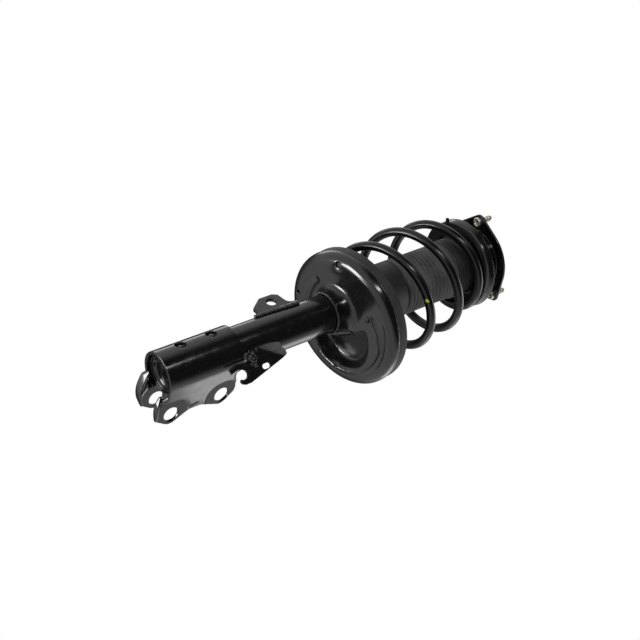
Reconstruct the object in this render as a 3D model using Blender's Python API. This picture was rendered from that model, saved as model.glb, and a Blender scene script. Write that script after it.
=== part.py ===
"""Front suspension strut assembly: damper, knuckle bracket, coil spring, boot and top mount.

Sizes are millimetres until a mesh is made, and the finished objects are in metres.
The origin is on the damper axis at the lower end of the knuckle bracket's wrap.
+Z runs up the strut to the top mount, and +X points to the knuckle bolts.
"""
import math

import bmesh
import bpy
from mathutils import Matrix, Vector

METRES = 0.001
FIT_GAP = 0.3
SEGMENTS = 36
SMALL_SEGMENTS = 24

# Damper tube and what lies inside it
TUBE_RADIUS = 25.0
TUBE_WALL = 2.2
TUBE_BOTTOM_Z = 5.0
TUBE_TOP_Z = 338.0
BASE_DISH_DEPTH = 7.0
BASE_THICKNESS = 3.0
END_CAP_THICKNESS = 4.0
GUIDE_HEIGHT = 14.0
SEAL_HEIGHT = 6.0
CYLINDER_RADIUS = 17.0
CYLINDER_WALL = 1.4
VALVE_HEIGHT = 14.0

# Piston rod and the pieces on it
ROD_RADIUS = 11.0
ROD_RUNNING_GAP = 0.08
ROD_NECK_RADIUS = 7.0
ROD_BOTTOM_Z = 268.0
ROD_TIP_Z = 522.0
PISTON_HEIGHT = 18.0
PISTON_RUNNING_GAP = 0.1
REBOUND_STOP_HEIGHT = 6.0
REBOUND_STOP_WIDTH = 3.0

# Knuckle bracket
SHEET = 4.2
WRAP_HEIGHT = 102.5
EAR_GAP = 27.5
EAR_BEND = 10.0
EAR_STEP = 3.2
BOLT_X = 49.5
BOLT_LOW_Z = 8.8
BOLT_SPACING = 70.7
BOLT_HOLE_RADIUS = 10.0
PAD_RADIUS = 24.5
PAD_RISE = 0.8
WRAP_HOLE_RADIUS = 8.0
WRAP_HOLE_ANGLE = 168.0
WRAP_HOLE_LOW_Z = 33.5
WRAP_HOLE_SPACING = 43.0
SLIT_X = 48.4
SLIT_Z = 40.4
SLIT_LENGTH = 11.0
SLIT_WIDTH = 2.0
FLANGE_THICKNESS = 3.0

# Link tab
TAB_FACE_X = -10.5
TAB_THICKNESS = 5.0
TAB_HOLE_Y = 42.2
TAB_HOLE_Z = 190.5
TAB_HOLE_RADIUS = 6.5

# Hose bracket, a plate along the tube whose face is turned to HOSE_NORMAL_ANGLE
HOSE_NORMAL_ANGLE = -134.5
HOSE_STANDOFF = 1.2
HOSE_THICKNESS = 3.0
HOSE_KINK_SLOPE = 0.28
NOTCH_OUT = 34.2
NOTCH_Z = 91.3
NOTCH_RADIUS = 6.0
SLOT_OUT = 34.2
SLOT_Z = 125.1
SLOT_LENGTH = 11.0
SLOT_WIDTH = 6.6

# Lower spring seat, a pressing tilted and offset from the damper axis
PAN_X = 14.0
PAN_Y = -8.0
PAN_Z = 264.0
PAN_TILT = -7.85
PAN_RADIUS = 90.6
PAN_SHEET = 2.6
PAN_WALL_HEIGHT = 13.0
COLLAR_BOTTOM_Z = 246.0
NECK_FLARE = 8.1
POCKET_X = 19.0
POCKET_Y = 0.0
POCKET_RADIUS = 47.3
POCKET_DEPTH = 14.0
POCKET_WALL = 9.0
PAN_HOLES = ((79.4, 169.0, 5.0), (77.4, 91.0, 2.6), (67.4, -2.0, 3.4))

# Rubber between the seat and the spring
PAD_INNER_RADIUS = 54.0
PAD_OUTER_RADIUS = 87.0
PAD_LIP_HEIGHT = 25.0
PAD_FLOOR_HEIGHT = 16.0
PAD_WIRE_GAP = 0.9453

# Coil spring
WIRE_DIAMETER = 11.7
COIL_RADIUS = 73.3
COIL_PITCH = 54.8
COIL_PHASE = 89.8
COIL_MID_Z = 379.6
COIL_MID_Y = -3.2
COIL_TILT = -7.85
COIL_MID_TURN = 1.2
COIL_FIRST_TURN = -0.9
COIL_LAST_TURN = 2.9
POINTS_PER_TURN = 24
END_COIL_X = 9.0
END_COIL_Y = -10.0
END_COIL_RADIUS = 66.5
END_COIL_HEIGHT = 16.8
TOP_COIL_RADIUS = 55.0
TOP_COIL_Z = 457.0

# Dust boot
BOOT_RADIUS = 37.7
BOOT_WALL = 2.0
BOOT_BOTTOM_Z = 287.0
BOOT_BARREL_TOP_Z = 352.0
BOOT_RIB_TOP_Z = 436.0
BOOT_RIBS = 13
BOOT_RIB_DEPTH = 2.6
BOOT_CUFF_RADIUS = 39.5

# Upper seat, bearing and top mount
UPPER_PAD_RADIUS = 60.0
UPPER_PAD_BORE = 42.5
UPPER_PAD_THICKNESS = 5.0
KNOB_ANGLE = 152.0
KNOB_RADIUS = 2.3
KNOB_REACH = 5.5
UPPER_SHEET = 2.5
UPPER_SEAT_BORE = 30.0
UPPER_RIM_RADIUS = 61.2
UPPER_RIM_HEIGHT = 11.0
BEARING_INNER_RADIUS = 33.0
BEARING_RIM_INSET = 14.2
RACE_HEIGHT = 3.6
CAGE_HEIGHT = 3.2
CUP_RADIUS = 41.0
CUP_SHEET = 2.6
CUP_BORE = 27.0
MOUNT_TOP_Z = 506.0
MOUNT_PLATE_THICKNESS = 3.2
MOUNT_PLATE_RADIUS = 54.0
PLATE_EAR_RADIUS = 9.5
STUD_CIRCLE_RADIUS = 54.5
STUD_ANGLES = (173.0, -50.0, 61.0)
STUD_RADIUS = 4.0
STUD_HEAD_RADIUS = 6.5
STUD_HEAD_HEIGHT = 5.0
STUD_TIP_Z = 524.0
SLEEVE_RADIUS = 12.0
NUT_ACROSS_FLATS = 22.0
NUT_HEIGHT = 9.0
WASHER_RADIUS = 17.0
WASHER_THICKNESS = 2.5
BUMP_STOP_RADIUS = 24.0
BUMP_STOP_LENGTH = 65.0

WIRE_RADIUS = WIRE_DIAMETER / 2
WRAP_INNER = TUBE_RADIUS + FIT_GAP
WRAP_OUTER = WRAP_INNER + SHEET
HOSE_FACE_OFFSET = WRAP_INNER + HOSE_STANDOFF
NECK_TOP_RADIUS = WRAP_INNER + PAN_SHEET + NECK_FLARE
BEARING_OUTER_RADIUS = UPPER_RIM_RADIUS - BEARING_RIM_INSET
EAR_INNER_Y = EAR_GAP / 2
EAR_OUTER_Y = EAR_INNER_Y + SHEET
BOLT_HEIGHTS = (BOLT_LOW_Z, BOLT_LOW_Z + BOLT_SPACING)
CAP_TOP_Z = TUBE_TOP_Z + FIT_GAP + END_CAP_THICKNESS
SEAL_TOP_Z = TUBE_TOP_Z
SEAL_BOTTOM_Z = SEAL_TOP_Z - SEAL_HEIGHT
GUIDE_TOP_Z = SEAL_BOTTOM_Z - FIT_GAP
GUIDE_BOTTOM_Z = GUIDE_TOP_Z - GUIDE_HEIGHT
TUBE_INNER = TUBE_RADIUS - TUBE_WALL
CYLINDER_INNER = CYLINDER_RADIUS - CYLINDER_WALL
UPPER_PAD_BOTTOM_Z = TOP_COIL_Z + WIRE_RADIUS + FIT_GAP
UPPER_SEAT_BOTTOM_Z = UPPER_PAD_BOTTOM_Z + UPPER_PAD_THICKNESS + FIT_GAP
RACE_BOTTOM_Z = UPPER_SEAT_BOTTOM_Z + UPPER_SHEET + FIT_GAP
CAGE_BOTTOM_Z = RACE_BOTTOM_Z + RACE_HEIGHT + FIT_GAP
UPPER_RACE_BOTTOM_Z = CAGE_BOTTOM_Z + CAGE_HEIGHT + FIT_GAP
CUP_BOTTOM_Z = UPPER_RACE_BOTTOM_Z + RACE_HEIGHT + FIT_GAP
PLATE_BOTTOM_Z = MOUNT_TOP_Z - MOUNT_PLATE_THICKNESS
SLEEVE_BOTTOM_Z = CUP_BOTTOM_Z + CUP_SHEET
ROD_SHOULDER_Z = SLEEVE_BOTTOM_Z - FIT_GAP


# ---------------------------------------------------------------- materials and meshes

def make_material(name, colour, metallic, roughness):
    material = bpy.data.materials.new(name)
    material.use_nodes = True
    shader = material.node_tree.nodes["Principled BSDF"]
    shader.inputs["Base Color"].default_value = (*colour, 1.0)
    shader.inputs["Metallic"].default_value = metallic
    shader.inputs["Roughness"].default_value = roughness
    return material


FINISHES = {
    "black_paint": ((0.012, 0.012, 0.013), 0.0, 0.32),
    "spring_coat": ((0.016, 0.016, 0.017), 0.0, 0.38),
    "rubber": ((0.020, 0.020, 0.021), 0.0, 0.70),
    "zinc": ((0.55, 0.50, 0.36), 1.0, 0.35),
    "bright_steel": ((0.60, 0.60, 0.60), 1.0, 0.20),
    "nylon": ((0.30, 0.30, 0.28), 0.0, 0.50),
    "foam": ((0.45, 0.40, 0.28), 0.0, 0.80),
}


def finish_object(obj, finish):
    """Gives an object a material of its own and smooth faces between sharp edges."""
    colour, metallic, roughness = FINISHES[finish]
    obj.data.materials.append(make_material(obj.name, colour, metallic, roughness))
    if obj.type == "MESH":
        obj.data.shade_smooth()
        obj.data.set_sharp_from_angle(angle=math.radians(35))
    return obj


def mesh_object(name, points, faces, finish=None):
    """Makes a mesh from points in millimetres, with its faces turned outward."""
    mesh = bpy.data.meshes.new(name)
    builder = bmesh.new()
    verts = [builder.verts.new([c * METRES for c in point]) for point in points]
    for face in faces:
        builder.faces.new([verts[i] for i in face])
    bmesh.ops.recalc_face_normals(builder, faces=builder.faces)
    builder.to_mesh(mesh)
    builder.free()
    obj = bpy.data.objects.new(name, mesh)
    bpy.context.scene.collection.objects.link(obj)
    return finish_object(obj, finish) if finish else obj


def cut(obj, cutter, operation="DIFFERENCE"):
    """Adds an exact Boolean to obj and hides the piece that it uses."""
    cutter.hide_render = True
    cutter.display_type = "WIRE"
    modifier = obj.modifiers.new(cutter.name, "BOOLEAN")
    modifier.operation = operation
    modifier.solver = "EXACT"
    modifier.object = cutter


def arc(cx, cy, radius, start, end, steps):
    """Points along an arc, angles in degrees, both ends included."""
    angles = [math.radians(start + (end - start) * i / steps) for i in range(steps + 1)]
    return [(cx + radius * math.cos(a), cy + radius * math.sin(a)) for a in angles]


def rounded(corners, steps=4):
    """A closed outline from (x, y, radius) corners, each rounded by its radius."""
    outline = []
    for i, (x, y, radius) in enumerate(corners):
        here = Vector((x, y))
        if radius == 0:
            outline.append((x, y))
            continue
        before = (Vector(corners[i - 1][:2]) - here).normalized()
        after = (Vector(corners[(i + 1) % len(corners)][:2]) - here).normalized()
        half_angle = before.angle(after) / 2
        reach = radius / math.tan(half_angle)
        centre = here + (before + after).normalized() * (radius / math.sin(half_angle))
        first = here + before * reach - centre
        last = here + after * reach - centre
        turn = first.angle_signed(last)
        for k in range(steps + 1):
            spoke = first.copy()
            spoke.rotate(Matrix.Rotation(-turn * k / steps, 2))
            outline.append(tuple(centre + spoke))
    return outline


def prism(name, outline, low, high, place=None, finish=None):
    """An outline pushed from low to high along its third axis, then placed by a function."""
    place = place or (lambda a, b, c: (a, b, c))
    count = len(outline)
    points = [place(a, b, low) for a, b in outline] + [place(a, b, high) for a, b in outline]
    faces = [tuple(range(count))[::-1], tuple(range(count, 2 * count))]
    faces += [(i, (i + 1) % count, count + (i + 1) % count, count + i) for i in range(count)]
    return mesh_object(name, points, faces, finish)


def side_view(a, b, c):
    """Places an outline drawn in (x, z) so that its third axis is Y."""
    return (a, c, b)


def front_view(a, b, c):
    """Places an outline drawn in (y, z) so that its third axis is X."""
    return (c, a, b)


def loop_solid(name, loops, finish=None, closed=True):
    """Skins a run of equal loops. A closed run is a ring, an open one has end faces."""
    width = len(loops[0])
    points = [point for loop in loops for point in loop]
    faces = []
    spans = len(loops) if closed else len(loops) - 1
    for row in range(spans):
        low = row * width
        high = (row + 1) % len(loops) * width
        faces += [(low + i, low + (i + 1) % width, high + (i + 1) % width, high + i)
                  for i in range(width)]
    if not closed:
        faces.append(tuple(range(width)))
        faces.append(tuple(range((len(loops) - 1) * width, len(loops) * width)))
    return mesh_object(name, points, faces, finish)


def circle_points(radius, z, segments=SEGMENTS, x=0.0, y=0.0):
    angles = [2 * math.pi * i / segments for i in range(segments)]
    return [(x + radius * math.cos(a), y + radius * math.sin(a), z) for a in angles]


def turned_ring(name, profile, finish=None, segments=SEGMENTS):
    """Turns a closed (radius, z) profile with a bore about the damper axis."""
    return loop_solid(name, [circle_points(r, z, segments) for r, z in profile], finish)


def turned_solid(name, profile, finish=None, segments=SEGMENTS, x=0.0, y=0.0):
    """Turns an open (radius, z) profile and closes both ends with flat faces."""
    loops = [circle_points(r, z, segments, x, y) for r, z in profile]
    return loop_solid(name, loops, finish, closed=False)


def tube_profile(inner, outer, low, high):
    return [(outer, low), (outer, high), (inner, high), (inner, low)]


# ---------------------------------------------------------------- damper

def build_damper_body():
    turned_ring("strut_tube", tube_profile(TUBE_INNER, TUBE_RADIUS, TUBE_BOTTOM_Z, TUBE_TOP_Z),
                "black_paint")
    rim = TUBE_INNER - FIT_GAP
    rim_low = TUBE_BOTTOM_Z + 1.0
    crown = rim_low + BASE_DISH_DEPTH
    turned_solid("tube_base", [
        (4.0, crown), (14.0, crown - 1.5), (rim - 3.0, rim_low + 3.0), (rim - 2.0, rim_low),
        (rim, rim_low), (rim, rim_low + 4.5), (14.0, crown + BASE_THICKNESS - 1.5),
        (4.0, crown + BASE_THICKNESS)], "black_paint", SMALL_SEGMENTS)
    turned_ring("tube_end_cap", tube_profile(
        ROD_RADIUS + 1.0, TUBE_RADIUS, TUBE_TOP_Z + FIT_GAP, CAP_TOP_Z), "black_paint",
        SMALL_SEGMENTS)
    turned_ring("oil_seal", tube_profile(
        ROD_RADIUS + FIT_GAP, TUBE_INNER - FIT_GAP, SEAL_BOTTOM_Z, SEAL_TOP_Z), "rubber",
        SMALL_SEGMENTS)
    step_z = GUIDE_BOTTOM_Z + 6.0
    turned_ring("rod_guide", [
        (CYLINDER_INNER - FIT_GAP, GUIDE_BOTTOM_Z), (CYLINDER_INNER - FIT_GAP, step_z),
        (TUBE_INNER - FIT_GAP, step_z), (TUBE_INNER - FIT_GAP, GUIDE_TOP_Z),
        (ROD_RADIUS + ROD_RUNNING_GAP, GUIDE_TOP_Z),
        (ROD_RADIUS + ROD_RUNNING_GAP, GUIDE_BOTTOM_Z)], "bright_steel")
    valve_low = TUBE_BOTTOM_Z + 1.0 + BASE_DISH_DEPTH + BASE_THICKNESS + FIT_GAP
    valve_step = valve_low + VALVE_HEIGHT / 2
    turned_solid("base_valve", [
        (CYLINDER_RADIUS, valve_low), (CYLINDER_RADIUS, valve_step),
        (CYLINDER_INNER - FIT_GAP, valve_step), (CYLINDER_INNER - FIT_GAP, valve_low + VALVE_HEIGHT)],
        "bright_steel", SMALL_SEGMENTS)
    turned_ring("pressure_cylinder", tube_profile(
        CYLINDER_INNER, CYLINDER_RADIUS, valve_step + FIT_GAP, step_z - FIT_GAP), "bright_steel")


def build_rod():
    neck_low = ROD_BOTTOM_Z + PISTON_HEIGHT + FIT_GAP
    turned_solid("piston_rod", [
        (ROD_NECK_RADIUS, ROD_BOTTOM_Z - 3.0), (ROD_NECK_RADIUS, neck_low),
        (ROD_RADIUS, neck_low), (ROD_RADIUS, ROD_SHOULDER_Z),
        (ROD_NECK_RADIUS, ROD_SHOULDER_Z), (ROD_NECK_RADIUS, ROD_TIP_Z - 1.0),
        (ROD_NECK_RADIUS - 1.0, ROD_TIP_Z)], "bright_steel")
    turned_ring("piston", tube_profile(
        ROD_NECK_RADIUS + FIT_GAP, CYLINDER_INNER - PISTON_RUNNING_GAP,
        ROD_BOTTOM_Z, ROD_BOTTOM_Z + PISTON_HEIGHT), "bright_steel")
    stop_top = GUIDE_BOTTOM_Z - FIT_GAP
    turned_ring("rebound_stop", tube_profile(
        ROD_RADIUS + FIT_GAP, ROD_RADIUS + REBOUND_STOP_WIDTH,
        stop_top - REBOUND_STOP_HEIGHT, stop_top), "nylon", SMALL_SEGMENTS)
    top = CUP_BOTTOM_Z - FIT_GAP
    waist = BUMP_STOP_RADIUS - 4.0
    step = BUMP_STOP_LENGTH / 6
    bore = ROD_RADIUS + FIT_GAP
    outer = [(BUMP_STOP_RADIUS - 8.0, top - BUMP_STOP_LENGTH)]
    outer += [(waist if k % 2 == 0 else BUMP_STOP_RADIUS, top - BUMP_STOP_LENGTH + step * k)
              for k in range(1, 6)]
    outer.append((BUMP_STOP_RADIUS, top))
    turned_ring("bump_stop", outer + [(bore, top), (bore, top - BUMP_STOP_LENGTH)], "foam",
                SMALL_SEGMENTS)


# ---------------------------------------------------------------- knuckle bracket

def wrap_outline():
    """The bracket's plan: a sheet round the back of the tube that runs out into two ears."""
    bend_centre_y = EAR_OUTER_Y + EAR_BEND
    bend_centre_x = math.sqrt((WRAP_OUTER + EAR_BEND) ** 2 - bend_centre_y ** 2)
    join = math.degrees(math.atan2(bend_centre_y, bend_centre_x))
    tip_x = BOLT_X + 30.0
    outer_bend = arc(bend_centre_x, bend_centre_y, EAR_BEND, 270.0, 180.0 + join, 5)
    inner_bend = arc(bend_centre_x, bend_centre_y, EAR_BEND + SHEET, 270.0, 180.0 + join, 5)
    half_outer = [(tip_x, EAR_OUTER_Y)] + outer_bend
    half_outer += arc(0.0, 0.0, WRAP_OUTER, join, 180.0, 14)[1:]
    half_inner = [(tip_x, EAR_INNER_Y)] + inner_bend
    half_inner += arc(0.0, 0.0, WRAP_INNER, join, 180.0, 14)[1:]
    outer = half_outer + [(x, -y) for x, y in reversed(half_outer[:-1])]
    inner = half_inner + [(x, -y) for x, y in reversed(half_inner[:-1])]
    return outer + inner[::-1]


def ear_outline():
    """The bracket seen from the side, as (x, z, corner radius)."""
    top = WRAP_HEIGHT
    ear_top = top - EAR_STEP
    low, high = BOLT_HEIGHTS
    back = -WRAP_OUTER - 8.0
    return rounded([
        (back, 0.0, 0), (18.0, 0.0, 2.0), (26.0, low - 17.8, 4.0), (34.0, low - 21.5, 6.0),
        (BOLT_X + 3.0, low - 21.1, 6.0), (BOLT_X + 15.4, low - 3.0, 13.0),
        (BOLT_X + 2.6, low + 24.2, 18.0), (BOLT_X + 2.6, high - 29.5, 18.0),
        (BOLT_X + 13.8, high - 2.0, 9.0), (BOLT_X - 0.4, ear_top, 12.0), (24.0, ear_top, 20.0),
        (4.0, top, 20.0), (back, top, 0)])


def flange_loops(side):
    """The stiffening flange along an ear's lower edge, as cross sections from back to nose.

    The far one starts behind its ear, where it leaves a window under the wrap."""
    path = [(20.0, -8.0, 19.0), (26.0, -11.4, 22.0), (34.0, -13.4, 22.6), (44.0, -13.8, 22.0),
            (52.0, -12.8, 18.8)]
    if side > 0:
        path = [(6.0, -3.2, 20.0), (11.0, -6.2, 25.5), (21.0, -10.2, 27.0), (32.0, -13.4, 27.0),
                (44.0, -13.8, 25.5), (52.0, -12.8, 19.5)]
    inner_y = EAR_INNER_Y + 0.6
    loops = []
    for x, z, outer_y in path:
        section = ((inner_y, z), (outer_y, z), (outer_y, z + FLANGE_THICKNESS),
                   (inner_y, z + FLANGE_THICKNESS))
        loops.append([(x, side * y, height) for y, height in section])
    return loops


def build_knuckle_bracket():
    reach = 40.0
    bracket = prism("knuckle_bracket", wrap_outline(), -reach, WRAP_HEIGHT + reach,
                    finish="black_paint")
    for label, side in (("near", -1), ("far", 1)):
        for row, z in zip(("low", "high"), BOLT_HEIGHTS):
            disc = arc(BOLT_X, z, PAD_RADIUS, 0.0, 360.0 * 31 / 32, 31)
            ends = sorted((side * (EAR_OUTER_Y - 1.0), side * (EAR_OUTER_Y + PAD_RISE)))
            pad = prism(f"pad_{label}_{row}", disc, *ends, place=side_view)
            cut(bracket, pad, "UNION")
    cut(bracket, prism("ear_shape", ear_outline(), -reach, reach, place=side_view), "INTERSECT")
    for label, side in (("near", -1), ("far", 1)):
        flange = loop_solid(f"flange_{label}", flange_loops(side), closed=False)
        cut(bracket, flange, "UNION")
    for row, z in zip(("low", "high"), BOLT_HEIGHTS):
        hole = arc(BOLT_X, z, BOLT_HOLE_RADIUS, 0.0, 360.0 * 23 / 24, 23)
        cut(bracket, prism(f"bolt_hole_{row}", hole, -reach, reach, place=side_view))
    slit = rounded([(SLIT_X - SLIT_WIDTH / 2, SLIT_Z - SLIT_LENGTH / 2, 0.8),
                    (SLIT_X + SLIT_WIDTH / 2, SLIT_Z - SLIT_LENGTH / 2, 0.8),
                    (SLIT_X + SLIT_WIDTH / 2, SLIT_Z + SLIT_LENGTH / 2, 0.8),
                    (SLIT_X - SLIT_WIDTH / 2, SLIT_Z + SLIT_LENGTH / 2, 0.8)], 2)
    cut(bracket, prism("ear_slit", slit, -reach, reach, place=side_view))
    turn = math.radians(WRAP_HOLE_ANGLE)
    for row in range(2):
        z = WRAP_HOLE_LOW_Z + WRAP_HOLE_SPACING * row
        disc = arc(0.0, z, WRAP_HOLE_RADIUS, 0.0, 360.0 * 15 / 16, 15)

        def radial(a, b, c):
            return (c * math.cos(turn) - a * math.sin(turn),
                    c * math.sin(turn) + a * math.cos(turn), b)
        cut(bracket, prism(f"wrap_hole_{row + 1}", disc, TUBE_RADIUS - 5.0, WRAP_OUTER + 5.0,
                           place=radial))


# ---------------------------------------------------------------- link tab and hose bracket

def tube_clearance(name, low, high):
    """A cylinder a fit larger than the tube, which trims what is welded to it."""
    return turned_solid(name, [(WRAP_INNER, low), (WRAP_INNER, high)])


def build_link_tab():
    outline = rounded([
        (15.0, 162.0, 0), (42.5, 163.0, 3.0), (56.0, 180.5, 3.0), (56.0, 200.0, 3.0),
        (51.5, 206.8, 3.0), (33.5, 209.0, 8.0), (28.5, 223.0, 2.0), (15.0, 223.0, 0)], 3)
    tab = prism("link_tab", outline, TAB_FACE_X, TAB_FACE_X + TAB_THICKNESS,
                place=front_view, finish="black_paint")
    hole = arc(TAB_HOLE_Y, TAB_HOLE_Z, TAB_HOLE_RADIUS, 0.0, 360.0 * 19 / 20, 19)
    cut(tab, prism("tab_hole", hole, TAB_FACE_X - 5.0, TAB_FACE_X + TAB_THICKNESS + 5.0,
                   place=front_view))
    cut(tab, tube_clearance("tab_weld_line", 150.0, 235.0))


def hose_place(out, z, depth):
    """Places a point of the hose bracket: out along its face, up the tube, off its face."""
    normal = math.radians(HOSE_NORMAL_ANGLE)
    along = normal + math.pi / 2
    off = HOSE_FACE_OFFSET + depth
    return (off * math.cos(normal) + out * math.cos(along),
            off * math.sin(normal) + out * math.sin(along), z)


def kink_hose_bracket(obj):
    """Folds the part of the plate nearest the tube back to it along a slanting line."""
    start = Vector((12.0, 121.6))
    line = (Vector((31.0, 151.1)) - start).normalized()
    beyond = Vector((line.y, -line.x))
    origin = Vector(hose_place(start.x, start.y, 0.0)) * METRES
    across = Vector(hose_place(start.x + beyond.x, start.y + beyond.y, 0.0)) * METRES - origin
    normal = Vector(hose_place(0.0, 0.0, 1.0)) * METRES - Vector(hose_place(0.0, 0.0, 0.0)) * METRES
    builder = bmesh.new()
    builder.from_mesh(obj.data)
    bmesh.ops.bisect_plane(builder, geom=builder.verts[:] + builder.edges[:] + builder.faces[:],
                           plane_co=origin, plane_no=across, dist=1e-7)
    for vert in builder.verts:
        distance = (vert.co - origin).dot(across.normalized())
        vert.co -= normal.normalized() * HOSE_KINK_SLOPE * max(-distance, 0.0)
    builder.to_mesh(obj.data)
    builder.free()


def build_hose_bracket():
    hook = arc(NOTCH_OUT, NOTCH_Z, NOTCH_RADIUS, -42.0, 172.0, 10)
    outline = [(9.0, 109.0), (9.0, 152.0), (11.4, 154.1), (15.6, 157.2), (18.8, 154.3),
               (25.1, 158.6), (29.5, 158.1), (31.0, 155.6), (46.6, 99.1), (46.8, 91.6),
               (44.5, 86.6), (41.0, 85.0)] + hook
    outline += [(26.8, 87.6), (29.5, 77.6), (22.9, 76.0), (19.8, 87.1), (21.5, 98.6),
                (20.5, 103.2)]
    plate = prism("hose_bracket", outline, -HOSE_THICKNESS, 0.0, place=hose_place,
                  finish="black_paint")
    kink_hose_bracket(plate)
    half = (SLOT_LENGTH - SLOT_WIDTH) / 2
    slot = arc(SLOT_OUT, SLOT_Z + half, SLOT_WIDTH / 2, 0.0, 180.0, 8)
    slot += arc(SLOT_OUT, SLOT_Z - half, SLOT_WIDTH / 2, 180.0, 360.0, 8)
    cut(plate, prism("hose_slot", slot, -20.0, 10.0, place=hose_place))
    cut(plate, tube_clearance("hose_weld_line", 100.0, 170.0))


# ---------------------------------------------------------------- lower seat and its rubber

PAN_FRAME = (Matrix.Translation((PAN_X, PAN_Y, PAN_Z))
             @ Matrix.Rotation(math.radians(PAN_TILT), 4, "X"))
PAN_INVERSE = PAN_FRAME.inverted()


def smooth_step(value):
    value = min(max(value, 0.0), 1.0)
    return value * value * (3.0 - 2.0 * value)


def pocket_height(x, y):
    """Height of the pressing above its trough at a point of the pan frame."""
    inside = POCKET_RADIUS - math.hypot(x - POCKET_X, y - POCKET_Y)
    return POCKET_DEPTH * smooth_step(0.5 + inside / POCKET_WALL)


def neck_row(angle, fraction):
    """A point of the fillet from the collar on the tube out to the pressing."""
    collar = WRAP_INNER + PAN_SHEET
    radius = collar + (NECK_TOP_RADIUS - collar) * (1.0 - math.cos(fraction * math.pi / 2))
    rim = Vector((NECK_TOP_RADIUS * math.cos(angle), NECK_TOP_RADIUS * math.sin(angle), PAN_Z))
    flat = PAN_INVERSE @ rim
    top = PAN_FRAME @ Vector((flat.x, flat.y, pocket_height(flat.x, flat.y)))
    start = COLLAR_BOTTOM_Z + 6.0
    z = start + (top.z - start) * math.sin(fraction * math.pi / 2)
    return (radius * math.cos(angle), radius * math.sin(angle), z)


def pan_row(angle, fraction, flat_radius):
    """A point of the pressing between the neck and the edge of its flat."""
    inner = PAN_INVERSE @ Vector((NECK_TOP_RADIUS * math.cos(angle),
                                  NECK_TOP_RADIUS * math.sin(angle), PAN_Z))
    x = inner.x + (flat_radius * math.cos(angle) - inner.x) * fraction
    y = inner.y + (flat_radius * math.sin(angle) - inner.y) * fraction
    return tuple(PAN_FRAME @ Vector((x, y, pocket_height(x, y))))


def pan_point(radius, angle, height):
    return tuple(PAN_FRAME @ Vector((radius * math.cos(angle), radius * math.sin(angle), height)))


def build_lower_spring_seat():
    segments = 40
    angles = [2 * math.pi * i / segments for i in range(segments)]
    collar = WRAP_INNER + PAN_SHEET
    flat_radius = PAN_RADIUS - 12.0
    rows = [[(collar * math.cos(a), collar * math.sin(a), COLLAR_BOTTOM_Z) for a in angles]]
    rows += [[neck_row(a, k / 4) for a in angles] for k in range(4)]
    rows += [[pan_row(a, k / 9, flat_radius) for a in angles] for k in range(10)]
    wall = ((PAN_RADIUS - 6.6, 1.8), (PAN_RADIUS - 2.1, 5.5), (PAN_RADIUS - 0.2, 9.0),
            (PAN_RADIUS, PAN_WALL_HEIGHT))
    rows += [[pan_point(r, a, h) for a in angles] for r, h in wall]
    points = [point for row in rows for point in row]
    faces = []
    for row in range(len(rows) - 1):
        for i in range(segments):
            j = (i + 1) % segments
            faces.append((row * segments + i, row * segments + j,
                          (row + 1) * segments + j, (row + 1) * segments + i))
    seat = mesh_object("lower_spring_seat", points, faces, "black_paint")
    underside = seat.data.polygons[0].normal
    outward = underside.dot(seat.data.polygons[0].center * Vector((1, 1, 0))) > 0
    sheet = seat.modifiers.new("sheet", "SOLIDIFY")
    sheet.thickness = PAN_SHEET * METRES
    sheet.offset = -1.0 if outward else 1.0
    sheet.use_even_offset = True
    for index, (radius, angle, hole_radius) in enumerate(PAN_HOLES):
        turn = math.radians(angle)
        loops = []
        for height in (-8.0, 10.0):
            loops.append([tuple(PAN_FRAME @ Vector((
                radius * math.cos(turn) + px, radius * math.sin(turn) + py, height)))
                for px, py, pz in circle_points(hole_radius, 0.0, 16)])
        cut(seat, loop_solid(f"pan_hole_{index + 1}", loops, closed=False))


def spring_height(turn):
    """Height of the lower end coil's centreline above the trough."""
    return END_COIL_HEIGHT + 14.0 * (turn - COIL_FIRST_TURN) ** 2


def spring_floor(angle):
    """Height of the rubber under the lower end coil, which ramps up beside the wire."""
    phase = math.degrees(angle) - COIL_PHASE - COIL_FIRST_TURN * 360.0 + 12.0
    turn = COIL_FIRST_TURN + (phase % 360.0 - 12.0) / 360.0
    wire_flat = WIRE_RADIUS * math.cos(math.radians(22.5))
    return min(spring_height(turn) - wire_flat - PAD_WIRE_GAP, PAD_FLOOR_HEIGHT)


def build_lower_insulator():
    segments = 40
    angles = [2 * math.pi * i / segments for i in range(segments)]
    rim = PAN_WALL_HEIGHT + FIT_GAP
    fixed = [(PAD_INNER_RADIUS + 11.0, PAN_SHEET + FIT_GAP + 0.2), (78.5, PAN_SHEET + FIT_GAP + 0.2),
             (82.2, 5.2), (85.6, 8.2), (87.0, 11.0), (87.2, rim), (89.6, rim), (89.3, 16.5),
             (PAD_OUTER_RADIUS, PAD_LIP_HEIGHT), (PAD_OUTER_RADIUS - 2.8, PAD_LIP_HEIGHT)]
    loops = []
    for angle in angles:
        floor = spring_floor(angle)
        bottom = PAN_SHEET + FIT_GAP + 0.2
        inner = max(pocket_edge(angle) + 3.0, PAD_INNER_RADIUS)
        section = [(max(r, inner + 2.0), h) if i == 0 else (r, h) for i, (r, h) in enumerate(fixed)]
        section += [(83.4, floor + 4.0), (80.5, floor), (max(inner, 56.0) + 1.0, floor)]
        section[0] = (max(inner, 56.0) + 1.0, bottom)
        loops.append([pan_point(r, angle, h) for r, h in section])
    loop_solid("lower_insulator", loops, "rubber")


def pocket_edge(angle):
    """Distance from the pan's centre to the foot of the pocket's wall, at an angle."""
    reach = POCKET_RADIUS + POCKET_WALL / 2 + PAN_SHEET
    along = POCKET_X * math.cos(angle)
    return along + math.sqrt(reach ** 2 - (POCKET_X * math.sin(angle)) ** 2)


# ---------------------------------------------------------------- spring and boot

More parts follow.
